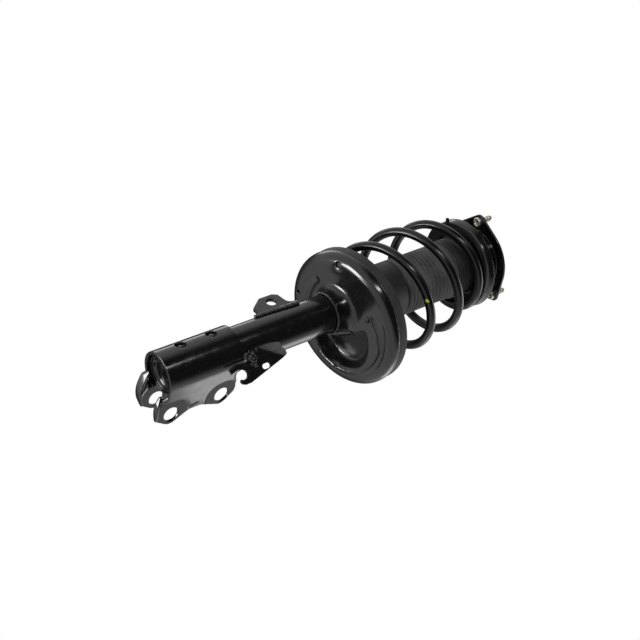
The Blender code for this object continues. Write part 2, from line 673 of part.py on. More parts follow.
def main_coil(turn):
    """Centreline of the free turns, which narrow and close up toward the top."""
    radius = COIL_RADIUS - 12.5 * max(turn - 1.5, 0.0)
    rise = COIL_PITCH * (turn - COIL_MID_TURN) - 6.7 * max(turn - 2.0, 0.0) ** 2
    angle = 2 * math.pi * turn + math.radians(COIL_PHASE)
    local = Vector((radius * math.cos(angle), radius * math.sin(angle), rise))
    return Matrix.Rotation(math.radians(COIL_TILT), 3, "X") @ local + Vector(
        (0.0, COIL_MID_Y, COIL_MID_Z))


def bottom_coil(turn):
    angle = 2 * math.pi * turn + math.radians(COIL_PHASE)
    seat_x = END_COIL_X - PAN_X + END_COIL_RADIUS * math.cos(angle)
    seat_y = END_COIL_Y - PAN_Y + END_COIL_RADIUS * math.sin(angle)
    return PAN_FRAME @ Vector((seat_x, seat_y, spring_height(turn)))


def top_coil(turn):
    angle = 2 * math.pi * turn + math.radians(COIL_PHASE)
    return Vector((TOP_COIL_RADIUS * math.cos(angle), TOP_COIL_RADIUS * math.sin(angle), TOP_COIL_Z))


def spring_point(turn):
    """Centreline of the spring, with its end coils eased onto the two seats."""
    point = main_coil(turn)
    point = point.lerp(bottom_coil(turn), smooth_step((0.05 - turn) / 0.7))
    return point.lerp(top_coil(turn), smooth_step((turn - 2.2) / 0.42))


def least_gap(points, diameter):
    """Least clear distance between turns that are at least half a turn apart."""
    apart = POINTS_PER_TURN // 2
    centres = min((points[i] - points[j]).length
                  for i in range(len(points)) for j in range(i + apart, len(points)))
    return centres - diameter


def build_coil_spring():
    steps = round((COIL_LAST_TURN - COIL_FIRST_TURN) * POINTS_PER_TURN)
    points = [spring_point(COIL_FIRST_TURN + (COIL_LAST_TURN - COIL_FIRST_TURN) * i / steps)
              for i in range(steps + 1)]
    print("coil spring least gap to itself, mm:", round(least_gap(points, WIRE_DIAMETER), 2))
    curve = bpy.data.curves.new("coil_spring", "CURVE")
    curve.dimensions = "3D"
    curve.bevel_depth = WIRE_RADIUS * METRES
    curve.bevel_resolution = 1
    curve.use_fill_caps = True
    spline = curve.splines.new("POLY")
    spline.points.add(len(points) - 1)
    for slot, point in zip(spline.points, points):
        slot.co = (*(point * METRES), 1.0)
    obj = bpy.data.objects.new("coil_spring", curve)
    bpy.context.scene.collection.objects.link(obj)
    finish_object(obj, "spring_coat")


def build_dust_boot():
    inner = BOOT_RADIUS - BOOT_WALL - BOOT_RIB_DEPTH
    cuff_bore = WRAP_INNER + 0.2
    top = UPPER_SEAT_BOTTOM_Z - FIT_GAP
    pitch = (BOOT_RIB_TOP_Z - BOOT_BARREL_TOP_Z) / BOOT_RIBS
    outer = [(BOOT_RADIUS, BOOT_BOTTOM_Z), (BOOT_RADIUS, BOOT_BARREL_TOP_Z - 2.0)]
    for rib in range(BOOT_RIBS):
        foot = BOOT_BARREL_TOP_Z + pitch * rib
        outer += [(BOOT_RADIUS - BOOT_RIB_DEPTH, foot), (BOOT_RADIUS, foot + pitch / 2)]
    outer += [(BOOT_RADIUS - BOOT_RIB_DEPTH, BOOT_RIB_TOP_Z), (BOOT_CUFF_RADIUS, BOOT_RIB_TOP_Z + 4.0),
              (BOOT_CUFF_RADIUS, top)]
    profile = outer + [(inner, top), (inner, BOOT_BOTTOM_Z + 4.0), (cuff_bore, BOOT_BOTTOM_Z + 4.0),
                       (cuff_bore, BOOT_BOTTOM_Z)]
    turned_ring("dust_boot", profile, "rubber")


# ---------------------------------------------------------------- upper seat and top mount

def build_upper_seat():
    pad = turned_ring("upper_insulator", tube_profile(
        UPPER_PAD_BORE, UPPER_PAD_RADIUS, UPPER_PAD_BOTTOM_Z,
        UPPER_PAD_BOTTOM_Z + UPPER_PAD_THICKNESS), "rubber")
    turn = math.radians(KNOB_ANGLE)

    def radial(a, b, c):
        return (c * math.cos(turn) - a * math.sin(turn), c * math.sin(turn) + a * math.cos(turn), b)
    knob_z = UPPER_PAD_BOTTOM_Z + UPPER_PAD_THICKNESS / 2
    disc = arc(0.0, knob_z, KNOB_RADIUS, 0.0, 360.0 * 11 / 12, 11)
    cut(pad, prism("locating_knob", disc, UPPER_PAD_RADIUS - 6.0, UPPER_PAD_RADIUS + KNOB_REACH,
                   place=radial), "UNION")
    low = UPPER_SEAT_BOTTOM_Z
    sheet = UPPER_SHEET
    rim = UPPER_RIM_RADIUS
    turned_ring("upper_spring_seat", [
        (UPPER_SEAT_BORE, low), (rim - 5.5, low), (rim - 2.4, low + 3.5),
        (rim, low + UPPER_RIM_HEIGHT), (rim - sheet, low + UPPER_RIM_HEIGHT),
        (rim - sheet - 2.2, low + 4.5), (rim - 7.5, low + sheet), (UPPER_SEAT_BORE, low + sheet)],
        "black_paint")
    for name, z, height, finish in (
            ("bearing_lower_race", RACE_BOTTOM_Z, RACE_HEIGHT, "bright_steel"),
            ("bearing_cage", CAGE_BOTTOM_Z, CAGE_HEIGHT, "nylon"),
            ("bearing_upper_race", UPPER_RACE_BOTTOM_Z, RACE_HEIGHT, "bright_steel")):
        turned_ring(name, tube_profile(BEARING_INNER_RADIUS, BEARING_OUTER_RADIUS, z, z + height),
                    finish, SMALL_SEGMENTS)


def ear_radius(away):
    """Reach of the mount plate at an angle from a stud, for a round ear with straight flanks."""
    lean = math.acos((MOUNT_PLATE_RADIUS - PLATE_EAR_RADIUS) / STUD_CIRCLE_RADIUS)
    round_end = math.atan2(PLATE_EAR_RADIUS * math.sin(lean),
                           STUD_CIRCLE_RADIUS + PLATE_EAR_RADIUS * math.cos(lean))
    if away < round_end:
        across = STUD_CIRCLE_RADIUS * math.sin(away)
        return STUD_CIRCLE_RADIUS * math.cos(away) + math.sqrt(PLATE_EAR_RADIUS ** 2 - across ** 2)
    return MOUNT_PLATE_RADIUS / math.cos(max(lean - away, 0.0))


def plate_radius(angle):
    """Edge of the mount plate: round, with an ear that carries each stud."""
    return max(ear_radius(abs(math.remainder(angle - math.radians(stud), 2 * math.pi)))
               for stud in STUD_ANGLES)


def build_mount_plate():
    segments = 72
    angles = [2 * math.pi * i / segments for i in range(segments)]
    cup_inner = CUP_RADIUS - CUP_SHEET
    profile = [(CUP_BORE, CUP_BOTTOM_Z), (CUP_RADIUS - 1.5, CUP_BOTTOM_Z),
               (CUP_RADIUS, CUP_BOTTOM_Z + 1.5), (CUP_RADIUS, PLATE_BOTTOM_Z),
               (None, PLATE_BOTTOM_Z), (None, MOUNT_TOP_Z), (cup_inner, MOUNT_TOP_Z),
               (cup_inner, CUP_BOTTOM_Z + CUP_SHEET), (CUP_BORE, CUP_BOTTOM_Z + CUP_SHEET)]
    loops = []
    for radius, z in profile:
        loops.append([((radius or plate_radius(a)) * math.cos(a),
                       (radius or plate_radius(a)) * math.sin(a), z) for a in angles])
    plate = loop_solid("mount_plate", loops, "black_paint")
    for index, stud in enumerate(STUD_ANGLES):
        turn = math.radians(stud)
        x = STUD_CIRCLE_RADIUS * math.cos(turn)
        y = STUD_CIRCLE_RADIUS * math.sin(turn)
        cutter = turned_solid(f"stud_hole_{index + 1}", [
            (STUD_RADIUS + FIT_GAP, PLATE_BOTTOM_Z - 5.0), (STUD_RADIUS + FIT_GAP, MOUNT_TOP_Z + 5.0)],
            segments=16, x=x, y=y)
        cut(plate, cutter)
        head_top = PLATE_BOTTOM_Z - FIT_GAP
        turned_solid(f"mount_stud_{index + 1}", [
            (STUD_HEAD_RADIUS - 1.0, head_top - STUD_HEAD_HEIGHT),
            (STUD_HEAD_RADIUS, head_top - STUD_HEAD_HEIGHT + 1.0), (STUD_HEAD_RADIUS, head_top),
            (STUD_RADIUS, head_top), (STUD_RADIUS, STUD_TIP_Z - 1.5),
            (STUD_RADIUS - 1.2, STUD_TIP_Z)], "zinc", 16, x, y)


def build_mount_core():
    sleeve_top = MOUNT_TOP_Z - 1.0
    turned_ring("mount_sleeve", tube_profile(
        ROD_NECK_RADIUS + FIT_GAP, SLEEVE_RADIUS, SLEEVE_BOTTOM_Z, sleeve_top), "bright_steel",
        SMALL_SEGMENTS)
    bond = FIT_GAP
    inner = SLEEVE_RADIUS + bond
    outer = CUP_RADIUS - CUP_SHEET - bond
    low = CUP_BOTTOM_Z + CUP_SHEET + bond
    turned_ring("mount_rubber", [
        (inner, low + 2.0), (inner + 8.0, low), (outer, low), (outer, MOUNT_TOP_Z - 3.0),
        (inner + 8.0, sleeve_top - 4.0), (inner, sleeve_top - 1.0)], "rubber", SMALL_SEGMENTS)
    washer_low = sleeve_top + FIT_GAP
    turned_ring("rod_washer", tube_profile(
        ROD_NECK_RADIUS + FIT_GAP, WASHER_RADIUS, washer_low, washer_low + WASHER_THICKNESS), "zinc",
        SMALL_SEGMENTS)
    nut_low = washer_low + WASHER_THICKNESS + FIT_GAP
    corner = NUT_ACROSS_FLATS / math.sqrt(3)
    hexagon = arc(0.0, 0.0, corner, 0.0, 300.0, 5)
    nut = prism("rod_nut", hexagon, nut_low, nut_low + NUT_HEIGHT, finish="zinc")
    cut(nut, turned_solid("nut_bore", [(ROD_NECK_RADIUS + FIT_GAP, nut_low - 5.0),
                                       (ROD_NECK_RADIUS + FIT_GAP, nut_low + NUT_HEIGHT + 5.0)]))


def main():
    for obj in list(bpy.data.objects):
        bpy.data.objects.remove(obj, do_unlink=True)
    build_damper_body()
    build_rod()
    build_knuckle_bracket()
    build_link_tab()
    build_hose_bracket()
    build_lower_spring_seat()
    build_lower_insulator()
    build_coil_spring()
    build_dust_boot()
    build_upper_seat()
    build_mount_plate()
    build_mount_core()


main()
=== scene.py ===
"""Studio picture of a front suspension strut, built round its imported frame.

Shapes are worked out in millimetres and turned into metres when a mesh is made.
+Z runs up the strut to the top mount, and +X points to the knuckle bolts.
"""
import math

import bmesh
import bpy
import numpy as np
from mathutils import Matrix, Vector
from mathutils.geometry import delaunay_2d_cdt


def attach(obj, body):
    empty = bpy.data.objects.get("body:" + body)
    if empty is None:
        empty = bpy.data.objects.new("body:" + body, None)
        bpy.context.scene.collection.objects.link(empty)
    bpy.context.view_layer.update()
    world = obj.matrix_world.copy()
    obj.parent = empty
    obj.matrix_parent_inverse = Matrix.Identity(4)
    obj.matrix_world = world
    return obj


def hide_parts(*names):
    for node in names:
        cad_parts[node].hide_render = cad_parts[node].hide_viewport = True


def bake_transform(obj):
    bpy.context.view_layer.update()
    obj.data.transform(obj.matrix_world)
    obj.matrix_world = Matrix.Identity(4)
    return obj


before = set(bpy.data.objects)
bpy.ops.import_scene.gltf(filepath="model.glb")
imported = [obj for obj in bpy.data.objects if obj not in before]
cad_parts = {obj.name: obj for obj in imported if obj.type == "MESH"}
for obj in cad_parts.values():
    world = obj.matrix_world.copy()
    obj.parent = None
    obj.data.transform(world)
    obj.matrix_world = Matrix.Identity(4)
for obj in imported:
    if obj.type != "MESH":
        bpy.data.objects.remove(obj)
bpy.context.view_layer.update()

MM = 0.001
TURN = 2 * math.pi

# Damper
TUBE_RADIUS = 25.0
TUBE_BORE = 22.8
TUBE_BOTTOM = 5.0
TUBE_TOP = 338.0
WRAP_INNER = 25.3

# Knuckle bracket
BRACKET_SHEET = 4.2
WRAP_HEIGHT = 102.5
EAR_FACE = 13.75
EAR_BEND = 14.2
EAR_TOP = 99.3
BOLT_X = 49.5
BOLT_LOW = 8.8
BOLT_HIGH = 79.5
BOLT_HOLE = 10.0
PAD_RADIUS = 24.5
PAD_RISE = 1.0
PAD_FILLET = 3.4
WRAP_HOLES = (33.8, 76.2)
WRAP_HOLE_ANGLE = 168.0
WRAP_HOLE = 7.0
FLANGE_SHEET = 3.2

# Brackets on the tube
TAB_FACE = -10.5
TAB_SHEET = 5.0
FOOT_RADIUS = 25.4
FOOT_ANGLE = 114.0
HOSE_SHEET = 3.0

# Lower seat
PAN_MIDDLE = Vector((14.0, -8.0, 264.0))
PAN_TILT = math.radians(-7.85)
PAN_FRAME = Matrix.Translation(PAN_MIDDLE) @ Matrix.Rotation(PAN_TILT, 4, "X")
PAN_RADIUS = 90.6
PAN_FLAT = 78.6
PAN_SHEET = 2.6
PAN_RIM = 1.0
COLLAR_BOTTOM = 246.0
COLLAR_TOP = COLLAR_BOTTOM + 6.0
COLLAR_RADIUS = WRAP_INNER + PAN_SHEET
NECK_RADIUS = 36.0
BLANK_BORE = 10.0
POCKET = (19.0, 0.0, 47.3)
POCKET_DEPTH = 14.0
POCKET_WALL = 9.0

# Spring
WIRE_RADIUS = 5.85
COIL_RADIUS = 73.3
COIL_PITCH = 54.8
COIL_PHASE = math.radians(89.8)
FIRST_TURN = -0.9
LAST_TURN = 2.9
PAINT_DAB = (-0.0344, -0.0773, 0.342)

# Boot
BOOT_BOTTOM = 287.0
BOOT_RADIUS = 37.7
BOOT_BORE = 33.4
CUFF_RADIUS = 39.3
CUFF_GROOVE = 38.7
FIRST_RIB = 354.0
LAST_RIB = 436.5
RIB_PITCH = 6.35
RIB_DEPTH = 3.1
RIB_ROW = 0.5

# Upper seat and top mount
UPPER_PAD_LOW = 463.15
UPPER_SEAT_LOW = 468.45
CUP_LOW = 482.55
MOUNT_TOP = 506.0
PLATE_LOW = 502.8
PLATE_RADIUS = 54.0
PLATE_EAR = 9.5
STUD_CIRCLE = 54.5
STUD_ANGLES = (173.0, -50.0, 61.0)
STUD_TOP = 524.0
ROD_TOP = 522.0
ROD_BORE = 7.3

# Stage
OBJECT_MIDDLE = Vector((0.005, -0.005, 0.26))
SEAT_MIDDLE = PAN_MIDDLE * MM
CAMERA_SPOT = (-0.96756069, -0.99183876, -0.62362816)
CAMERA_TURN = (-0.5148, -2.2202, 1.4114)
FLOOR_HEIGHT = -17.6
FLOOR_REACH = 9000.0
FLAG_REACH = 2600.0


# ---------------------------------------------------------------- nodes

def linear(hex_colour):
    """The linear values of an sRGB hex colour."""
    channels = [int(hex_colour[i:i + 2], 16) / 255 for i in (1, 3, 5)]
    return (*[c / 12.92 if c <= 0.04045 else ((c + 0.055) / 1.055) ** 2.4 for c in channels], 1.0)


def add(tree, kind, settings=None, links=None):
    """Adds a node. Lower-case settings are its properties, and the others are its sockets."""
    node = tree.nodes.new(kind)
    for name, value in (settings or {}).items():
        if isinstance(name, str) and name[0].islower():
            setattr(node, name, value)
        else:
            node.inputs[name].default_value = value
    for name, source in (links or {}).items():
        tree.links.new(source, node.inputs[name])
    return node


def grains(size):
    """The pattern scale at which one grain is this many millimetres wide."""
    return 1.0 / (size * MM)


# Nearly all of a noise lies between these values.
NOISE_LOW = 0.3
NOISE_HIGH = 0.7


def start_material(name, sockets):
    """A material with its shader's even values set, its tree and its Object coordinates."""
    material = bpy.data.materials.new(name)
    material.use_nodes = True
    tree = material.node_tree
    shader = tree.nodes["Principled BSDF"]
    for socket, value in sockets.items():
        shader.inputs[socket].default_value = value
    place = add(tree, "ShaderNodeTexCoord").outputs["Object"]
    return material, tree, shader, place


def vary(made, patch, tones, roughness, relief, strength, depth):
    """Runs a finish between two tones and two roughnesses, over a fine relief.

    patch and relief are noise values, and depth is in millimetres. Gives the colour back."""
    _, tree, shader, _ = made
    colour = add(tree, "ShaderNodeMix", {
        "data_type": "RGBA", 6: linear(tones[0]), 7: linear(tones[1])}, {0: patch})
    tree.links.new(colour.outputs[2], shader.inputs["Base Color"])
    rough = add(tree, "ShaderNodeMapRange", {
        "From Min": NOISE_LOW, "From Max": NOISE_HIGH, "To Min": roughness[0],
        "To Max": roughness[1]}, {"Value": patch})
    tree.links.new(rough.outputs["Result"], shader.inputs["Roughness"])
    bump = add(tree, "ShaderNodeBump", {"Strength": strength, "Distance": depth * MM},
               {"Height": relief})
    tree.links.new(bump.outputs["Normal"], shader.inputs["Normal"])
    return colour.outputs[2]


def black_enamel():
    # Stoved black enamel over pressed and rolled steel: deep, glossy and slightly wavy, with
    # the fine ripple of sprayed paint, duller handled patches and a few specks of dust.
    material, tree, shader, place = start_material("stoved_black_enamel", {
        "IOR": 1.5, "Metallic": 0.0, "Specular IOR Level": 0.5})
    cloud = add(tree, "ShaderNodeTexNoise", {"Scale": grains(22), "Detail": 4.0}, {"Vector": place})
    colour = add(tree, "ShaderNodeMix", {"data_type": "RGBA", 6: linear("#070708"),
                                         7: linear("#0e0e0f")}, {0: cloud.outputs["Fac"]})
    dust = add(tree, "ShaderNodeTexNoise", {"Scale": grains(1.6), "Detail": 1.0}, {"Vector": place})
    specks = add(tree, "ShaderNodeMapRange", {"From Min": 0.76, "From Max": 0.82},
                 {"Value": dust.outputs["Fac"]})
    dusty = add(tree, "ShaderNodeMix", {"data_type": "RGBA", 7: linear("#6e6e6c")},
                {0: specks.outputs["Result"], 6: colour.outputs[2]})
    tree.links.new(dusty.outputs[2], shader.inputs["Base Color"])
    handled = add(tree, "ShaderNodeTexNoise", {"Scale": grains(9), "Detail": 5.0},
                  {"Vector": place})
    rough = add(tree, "ShaderNodeMapRange", {
        "From Min": NOISE_LOW, "From Max": NOISE_HIGH, "To Min": 0.13, "To Max": 0.22},
        {"Value": handled.outputs["Fac"]})
    tree.links.new(rough.outputs["Result"], shader.inputs["Roughness"])
    wave = add(tree, "ShaderNodeBump", {"Strength": 0.35, "Distance": 0.12 * MM},
               {"Height": cloud.outputs["Fac"]})
    # Orange peel is about 1 mm on the real paint, and is drawn at 2 mm so that it shows.
    peel = add(tree, "ShaderNodeTexNoise", {"Scale": grains(2.0), "Detail": 1.0},
               {"Vector": place})
    bump = add(tree, "ShaderNodeBump", {"Strength": 0.25, "Distance": 0.03 * MM},
               {"Height": peel.outputs["Fac"], "Normal": wave.outputs["Normal"]})
    tree.links.new(bump.outputs["Normal"], shader.inputs["Normal"])
    return material


def spring_coating(mark):
    # Black powder coat on shot-peened spring wire: satin, with a fine pebbled grain, and one
    # dab of yellow-green inspection paint.
    made = start_material("spring_powder_coat", {
        "IOR": 1.5, "Metallic": 0.0, "Specular IOR Level": 0.3})
    material, tree, shader, place = made
    cloud = add(tree, "ShaderNodeTexNoise", {"Scale": grains(14), "Detail": 5.0}, {"Vector": place})
    pebble = add(tree, "ShaderNodeTexNoise", {"Scale": grains(1.4), "Detail": 2.0},
                 {"Vector": place})
    black = vary(made, cloud.outputs["Fac"], ("#060607", "#0e0e10"), (0.17, 0.28),
                 pebble.outputs["Fac"], 0.4, 0.06)
    away = add(tree, "ShaderNodeVectorMath", {"operation": "DISTANCE", 1: mark}, {0: place})
    ragged = add(tree, "ShaderNodeTexNoise", {"Scale": grains(5), "Detail": 3.0},
                 {"Vector": place})
    reach = add(tree, "ShaderNodeMath", {"operation": "MULTIPLY_ADD", 1: 5 * MM},
                {0: ragged.outputs["Fac"], 2: away.outputs["Value"]})
    dab = add(tree, "ShaderNodeMapRange", {"From Min": 5.4 * MM, "From Max": 5.0 * MM},
              {"Value": reach.outputs["Value"]})
    painted = add(tree, "ShaderNodeMix", {"data_type": "RGBA", 7: linear("#aebc3a")},
                  {0: dab.outputs["Result"], 6: black})
    tree.links.new(painted.outputs[2], shader.inputs["Base Color"])
    return material


def moulded_rubber(name, dark, light, roughness, gloss=0.3):
    # Moulded rubber: matt, with a bloom of lighter dust in patches and a fine mould grain.
    made = start_material(name, {"IOR": 1.45, "Specular IOR Level": gloss})
    material, tree, _, place = made
    bloom = add(tree, "ShaderNodeTexNoise", {"Scale": grains(16), "Detail": 6.0,
                                             "Roughness": 0.62}, {"Vector": place})
    grain = add(tree, "ShaderNodeTexNoise", {"Scale": grains(0.9), "Detail": 2.0},
                {"Vector": place})
    vary(made, bloom.outputs["Fac"], (dark, light), (roughness - 0.07, roughness + 0.08),
         grain.outputs["Fac"], 0.5, 0.05)
    return material


def yellow_zinc():
    # Yellow-passivated zinc plate: a pale brass tint that shifts in blotches, softly mirrored.
    made = start_material("yellow_zinc_plate", {"Metallic": 1.0})
    material, tree, _, place = made
    blotch = add(tree, "ShaderNodeTexNoise", {"Scale": grains(5), "Detail": 4.0},
                 {"Vector": place})
    crystal = add(tree, "ShaderNodeTexNoise", {"Scale": grains(0.8), "Detail": 2.0},
                  {"Vector": place})
    vary(made, blotch.outputs["Fac"], ("#a09e94", "#e2dfd2"), (0.26, 0.42),
         crystal.outputs["Fac"], 0.3, 0.03)
    return material


def ground_steel():
    # Centreless-ground steel: bright, with fine lines round the axis from the wheel.
    made = start_material("ground_steel", {"Metallic": 1.0})
    material, tree, _, place = made
    squash = add(tree, "ShaderNodeMapping", {"Scale": (0.05, 0.05, 1.0)}, {"Vector": place})
    lines = add(tree, "ShaderNodeTexNoise", {"Scale": grains(0.5), "Detail": 3.0},
                {"Vector": squash.outputs["Vector"]})
    vary(made, lines.outputs["Fac"], ("#8e8f92", "#c3c4c6"), (0.16, 0.30),
         lines.outputs["Fac"], 0.2, 0.02)
    return material


def start_tree(name, sockets):
    """A geometry tree with these inputs between its geometry and its finish, and their node."""
    tree = bpy.data.node_groups.new(name, "GeometryNodeTree")
    for socket, kind in (("Geometry", "Geometry"), *sockets, ("Finish", "Material")):
        tree.interface.new_socket(socket, in_out="INPUT", socket_type=f"NodeSocket{kind}")
    tree.interface.new_socket("Geometry", in_out="OUTPUT", socket_type="NodeSocketGeometry")
    return tree, add(tree, "NodeGroupInput")


def end_tree(tree, given, geometry):
    """Ends a tree with its instances made real, in the finish that it was given."""
    real = add(tree, "GeometryNodeRealizeInstances", {}, {"Geometry": geometry})
    done = add(tree, "GeometryNodeSetMaterial", {}, {
        "Geometry": real.outputs["Geometry"], "Material": given.outputs["Finish"]})
    add(tree, "NodeGroupOutput", {}, {"Geometry": done.outputs["Geometry"]})
    return tree


def sweep_tree():
    """Skins an open path with round sections, each as wide as the path's section value."""
    tree, given = start_tree("round_section_along_path", [("Sides", "Int")])
    path = add(tree, "GeometryNodeMeshToCurve", {}, {"Mesh": given.outputs["Geometry"]})
    width = add(tree, "GeometryNodeInputNamedAttribute", {"Name": "section"})
    ring = add(tree, "GeometryNodeCurvePrimitiveCircle", {"Radius": 1.0},
               {"Resolution": given.outputs["Sides"]})
    skin = add(tree, "GeometryNodeCurveToMesh", {"Fill Caps": True}, {
        "Curve": path.outputs["Curve"], "Profile Curve": ring.outputs["Curve"],
        "Scale": width.outputs["Attribute"]})
    return end_tree(tree, given, skin.outputs["Mesh"])


def weld_tree():
    """Lays overlapping ripples of weld along a path, with a fixed seed for their sizes."""
    tree, given = start_tree("weld_ripples_along_path", [
        ("Width", "Float"), ("Ripple Pitch", "Float"), ("Seed", "Int")])
    path = add(tree, "GeometryNodeMeshToCurve", {}, {"Mesh": given.outputs["Geometry"]})
    spots = add(tree, "GeometryNodeCurveToPoints", {"mode": "LENGTH"}, {
        "Curve": path.outputs["Curve"], "Length": given.outputs["Ripple Pitch"]})
    half = add(tree, "ShaderNodeMath", {"operation": "MULTIPLY", 1: 0.5},
               {0: given.outputs["Width"]})
    drop = add(tree, "GeometryNodeMeshUVSphere", {"Segments": 16, "Rings": 10},
               {"Radius": half.outputs["Value"]})
    size = add(tree, "FunctionNodeRandomValue", {
        "data_type": "FLOAT_VECTOR", "Min": (0.8, 0.8, 0.45), "Max": (1.15, 1.15, 0.75)},
        {"Seed": given.outputs["Seed"]})
    ripples = add(tree, "GeometryNodeInstanceOnPoints", {}, {
        "Points": spots.outputs["Points"], "Instance": drop.outputs["Mesh"],
        "Rotation": spots.outputs["Rotation"], "Scale": size.outputs["Value"]})
    return end_tree(tree, given, ripples.outputs["Instances"])


def rib_tree():
    """Presses rings into a sleeve about the Z axis, from one height to another."""
    tree, given = start_tree("ribs_round_sleeve", [
        (name, "Float") for name in ("First Rib", "Last Rib", "Rib Pitch", "Rib Depth")])
    place = add(tree, "GeometryNodeInputPosition")
    parts = add(tree, "ShaderNodeSeparateXYZ", {}, {"Vector": place.outputs["Position"]})
    height = add(tree, "ShaderNodeMath", {"operation": "SUBTRACT"}, {
        0: parts.outputs["Z"], 1: given.outputs["First Rib"]})
    count = add(tree, "ShaderNodeMath", {"operation": "DIVIDE"}, {
        0: height.outputs["Value"], 1: given.outputs["Rib Pitch"]})
    phase = add(tree, "ShaderNodeMath", {"operation": "MULTIPLY", 1: TURN},
                {0: count.outputs["Value"]})
    wave = add(tree, "ShaderNodeMath", {"operation": "COSINE"}, {0: phase.outputs["Value"]})
    sink = add(tree, "ShaderNodeMapRange", {"From Min": -1.0, "From Max": 0.75}, {
        "Value": wave.outputs["Value"]})
    above = add(tree, "ShaderNodeMath", {"operation": "GREATER_THAN"}, {
        0: parts.outputs["Z"], 1: given.outputs["First Rib"]})
    below = add(tree, "ShaderNodeMath", {"operation": "LESS_THAN"}, {
        0: parts.outputs["Z"], 1: given.outputs["Last Rib"]})
    ribbed = add(tree, "ShaderNodeMath", {"operation": "MULTIPLY"}, {
        0: above.outputs["Value"], 1: below.outputs["Value"]})
    masked = add(tree, "ShaderNodeMath", {"operation": "MULTIPLY"}, {
        0: sink.outputs["Result"], 1: ribbed.outputs["Value"]})
    slack = add(tree, "ShaderNodeTexNoise", {"Scale": grains(26), "Detail": 2.0},
                {"Vector": place.outputs["Position"]})
    share = add(tree, "ShaderNodeMapRange", {
        "From Min": NOISE_LOW, "From Max": NOISE_HIGH, "To Min": 0.55, "To Max": 1.15},
        {"Value": slack.outputs["Fac"]})
    depth = add(tree, "ShaderNodeMath", {"operation": "MULTIPLY"}, {
        0: share.outputs["Result"], 1: given.outputs["Rib Depth"]})
    inward = add(tree, "ShaderNodeMath", {"operation": "MULTIPLY"}, {
        0: masked.outputs["Value"], 1: depth.outputs["Value"]})
    flat = add(tree, "ShaderNodeCombineXYZ", {}, {
        "X": parts.outputs["X"], "Y": parts.outputs["Y"]})
    spoke = add(tree, "ShaderNodeVectorMath", {"operation": "NORMALIZE"},
                {0: flat.outputs["Vector"]})
    back = add(tree, "ShaderNodeVectorMath", {"operation": "SCALE", "Scale": -1.0},
               {0: spoke.outputs["Vector"]})
    move = add(tree, "ShaderNodeVectorMath", {"operation": "SCALE"}, {
        0: back.outputs["Vector"], "Scale": inward.outputs["Value"]})
    pressed = add(tree, "GeometryNodeSetPosition", {}, {
        "Geometry": given.outputs["Geometry"], "Offset": move.outputs["Vector"]})
    return end_tree(tree, given, pressed.outputs["Geometry"])


# ---------------------------------------------------------------- meshes

def placed(name, data):
    """An object that shows this mesh, lamp or camera."""
    obj = bpy.data.objects.new(name, data)
    bpy.context.scene.collection.objects.link(obj)
    return obj


def mesh_piece(name, points, faces, turn_out=True):
    """A mesh from points in millimetres, its faces turned outward if they need to be."""
    mesh = bpy.data.meshes.new(name)
    mesh.from_pydata([[c * MM for c in point] for point in points], [], faces)
    if turn_out:
        builder = bmesh.new()
        builder.from_mesh(mesh)
        bmesh.ops.recalc_face_normals(builder, faces=builder.faces)
        builder.to_mesh(mesh)
        builder.free()
    return placed(name, mesh)


def merged(name, pieces):
    """One object from several, each a closed shell of its own."""
    builder = bmesh.new()
    for piece in pieces:
        builder.from_mesh(piece.data)
        bpy.data.objects.remove(piece, do_unlink=True)
    mesh = bpy.data.meshes.new(name)
    builder.to_mesh(mesh)
    builder.free()
    return placed(name, mesh)


def finished(obj, material, body, nodes=(), sharp=38.0):
    """Smooths a piece between its sharp edges, paints it and rides it on its body."""
    obj.data.materials.clear()
    obj.data.materials.append(material)
    obj.data.shade_smooth()
    obj.data.set_sharp_from_angle(angle=math.radians(sharp))
    if body:
        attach(obj, body)
    if nodes:
        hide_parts(*nodes)
    return obj


def grown(obj, tree, values):
    """Runs a tree on a piece with its inputs set, and leaves the result as a plain mesh."""
    name = obj.name
    modifier = obj.modifiers.new(tree.name, "NODES")
    modifier.node_group = tree
    for item in tree.interface.items_tree:
        if item.in_out == "INPUT" and item.name in values:
            modifier[item.identifier] = values[item.name]
    evaluated = obj.evaluated_get(bpy.context.evaluated_depsgraph_get())
    mesh = bpy.data.meshes.new_from_object(evaluated)
    bpy.data.objects.remove(obj, do_unlink=True)
    return placed(name, mesh)


def path_piece(name, points, widths):
    """An open path of edges in millimetres, with a section value at each point."""
    mesh = bpy.data.meshes.new(name)
    edges = [(i, i + 1) for i in range(len(points) - 1)]
    mesh.from_pydata([[c * MM for c in point] for point in points], edges, [])
    section = mesh.attributes.new("section", "FLOAT", "POINT")
    section.data.foreach_set("value", [width * MM for width in widths])
    return placed(name, mesh)


def rounded(corners, steps=4):
    """A closed outline from (x, y, radius) corners."""
    outline = []
    for i, (x, y, radius) in enumerate(corners):
        here = Vector((x, y))
        if radius == 0:
            outline.append((x, y))
            continue
        before = (Vector(corners[i - 1][:2]) - here).normalized()
        after = (Vector(corners[(i + 1) % len(corners)][:2]) - here).normalized()
        half = before.angle(after) / 2
        reach = radius / math.tan(half)
        centre = here + (before + after).normalized() * (radius / math.sin(half))
        first = here + before * reach - centre
        turn = first.angle_signed(here + after * reach - centre)
        for k in range(steps + 1):
            spoke = first.copy()
            spoke.rotate(Matrix.Rotation(-turn * k / steps, 2))
            outline.append(tuple(centre + spoke))
    return outline


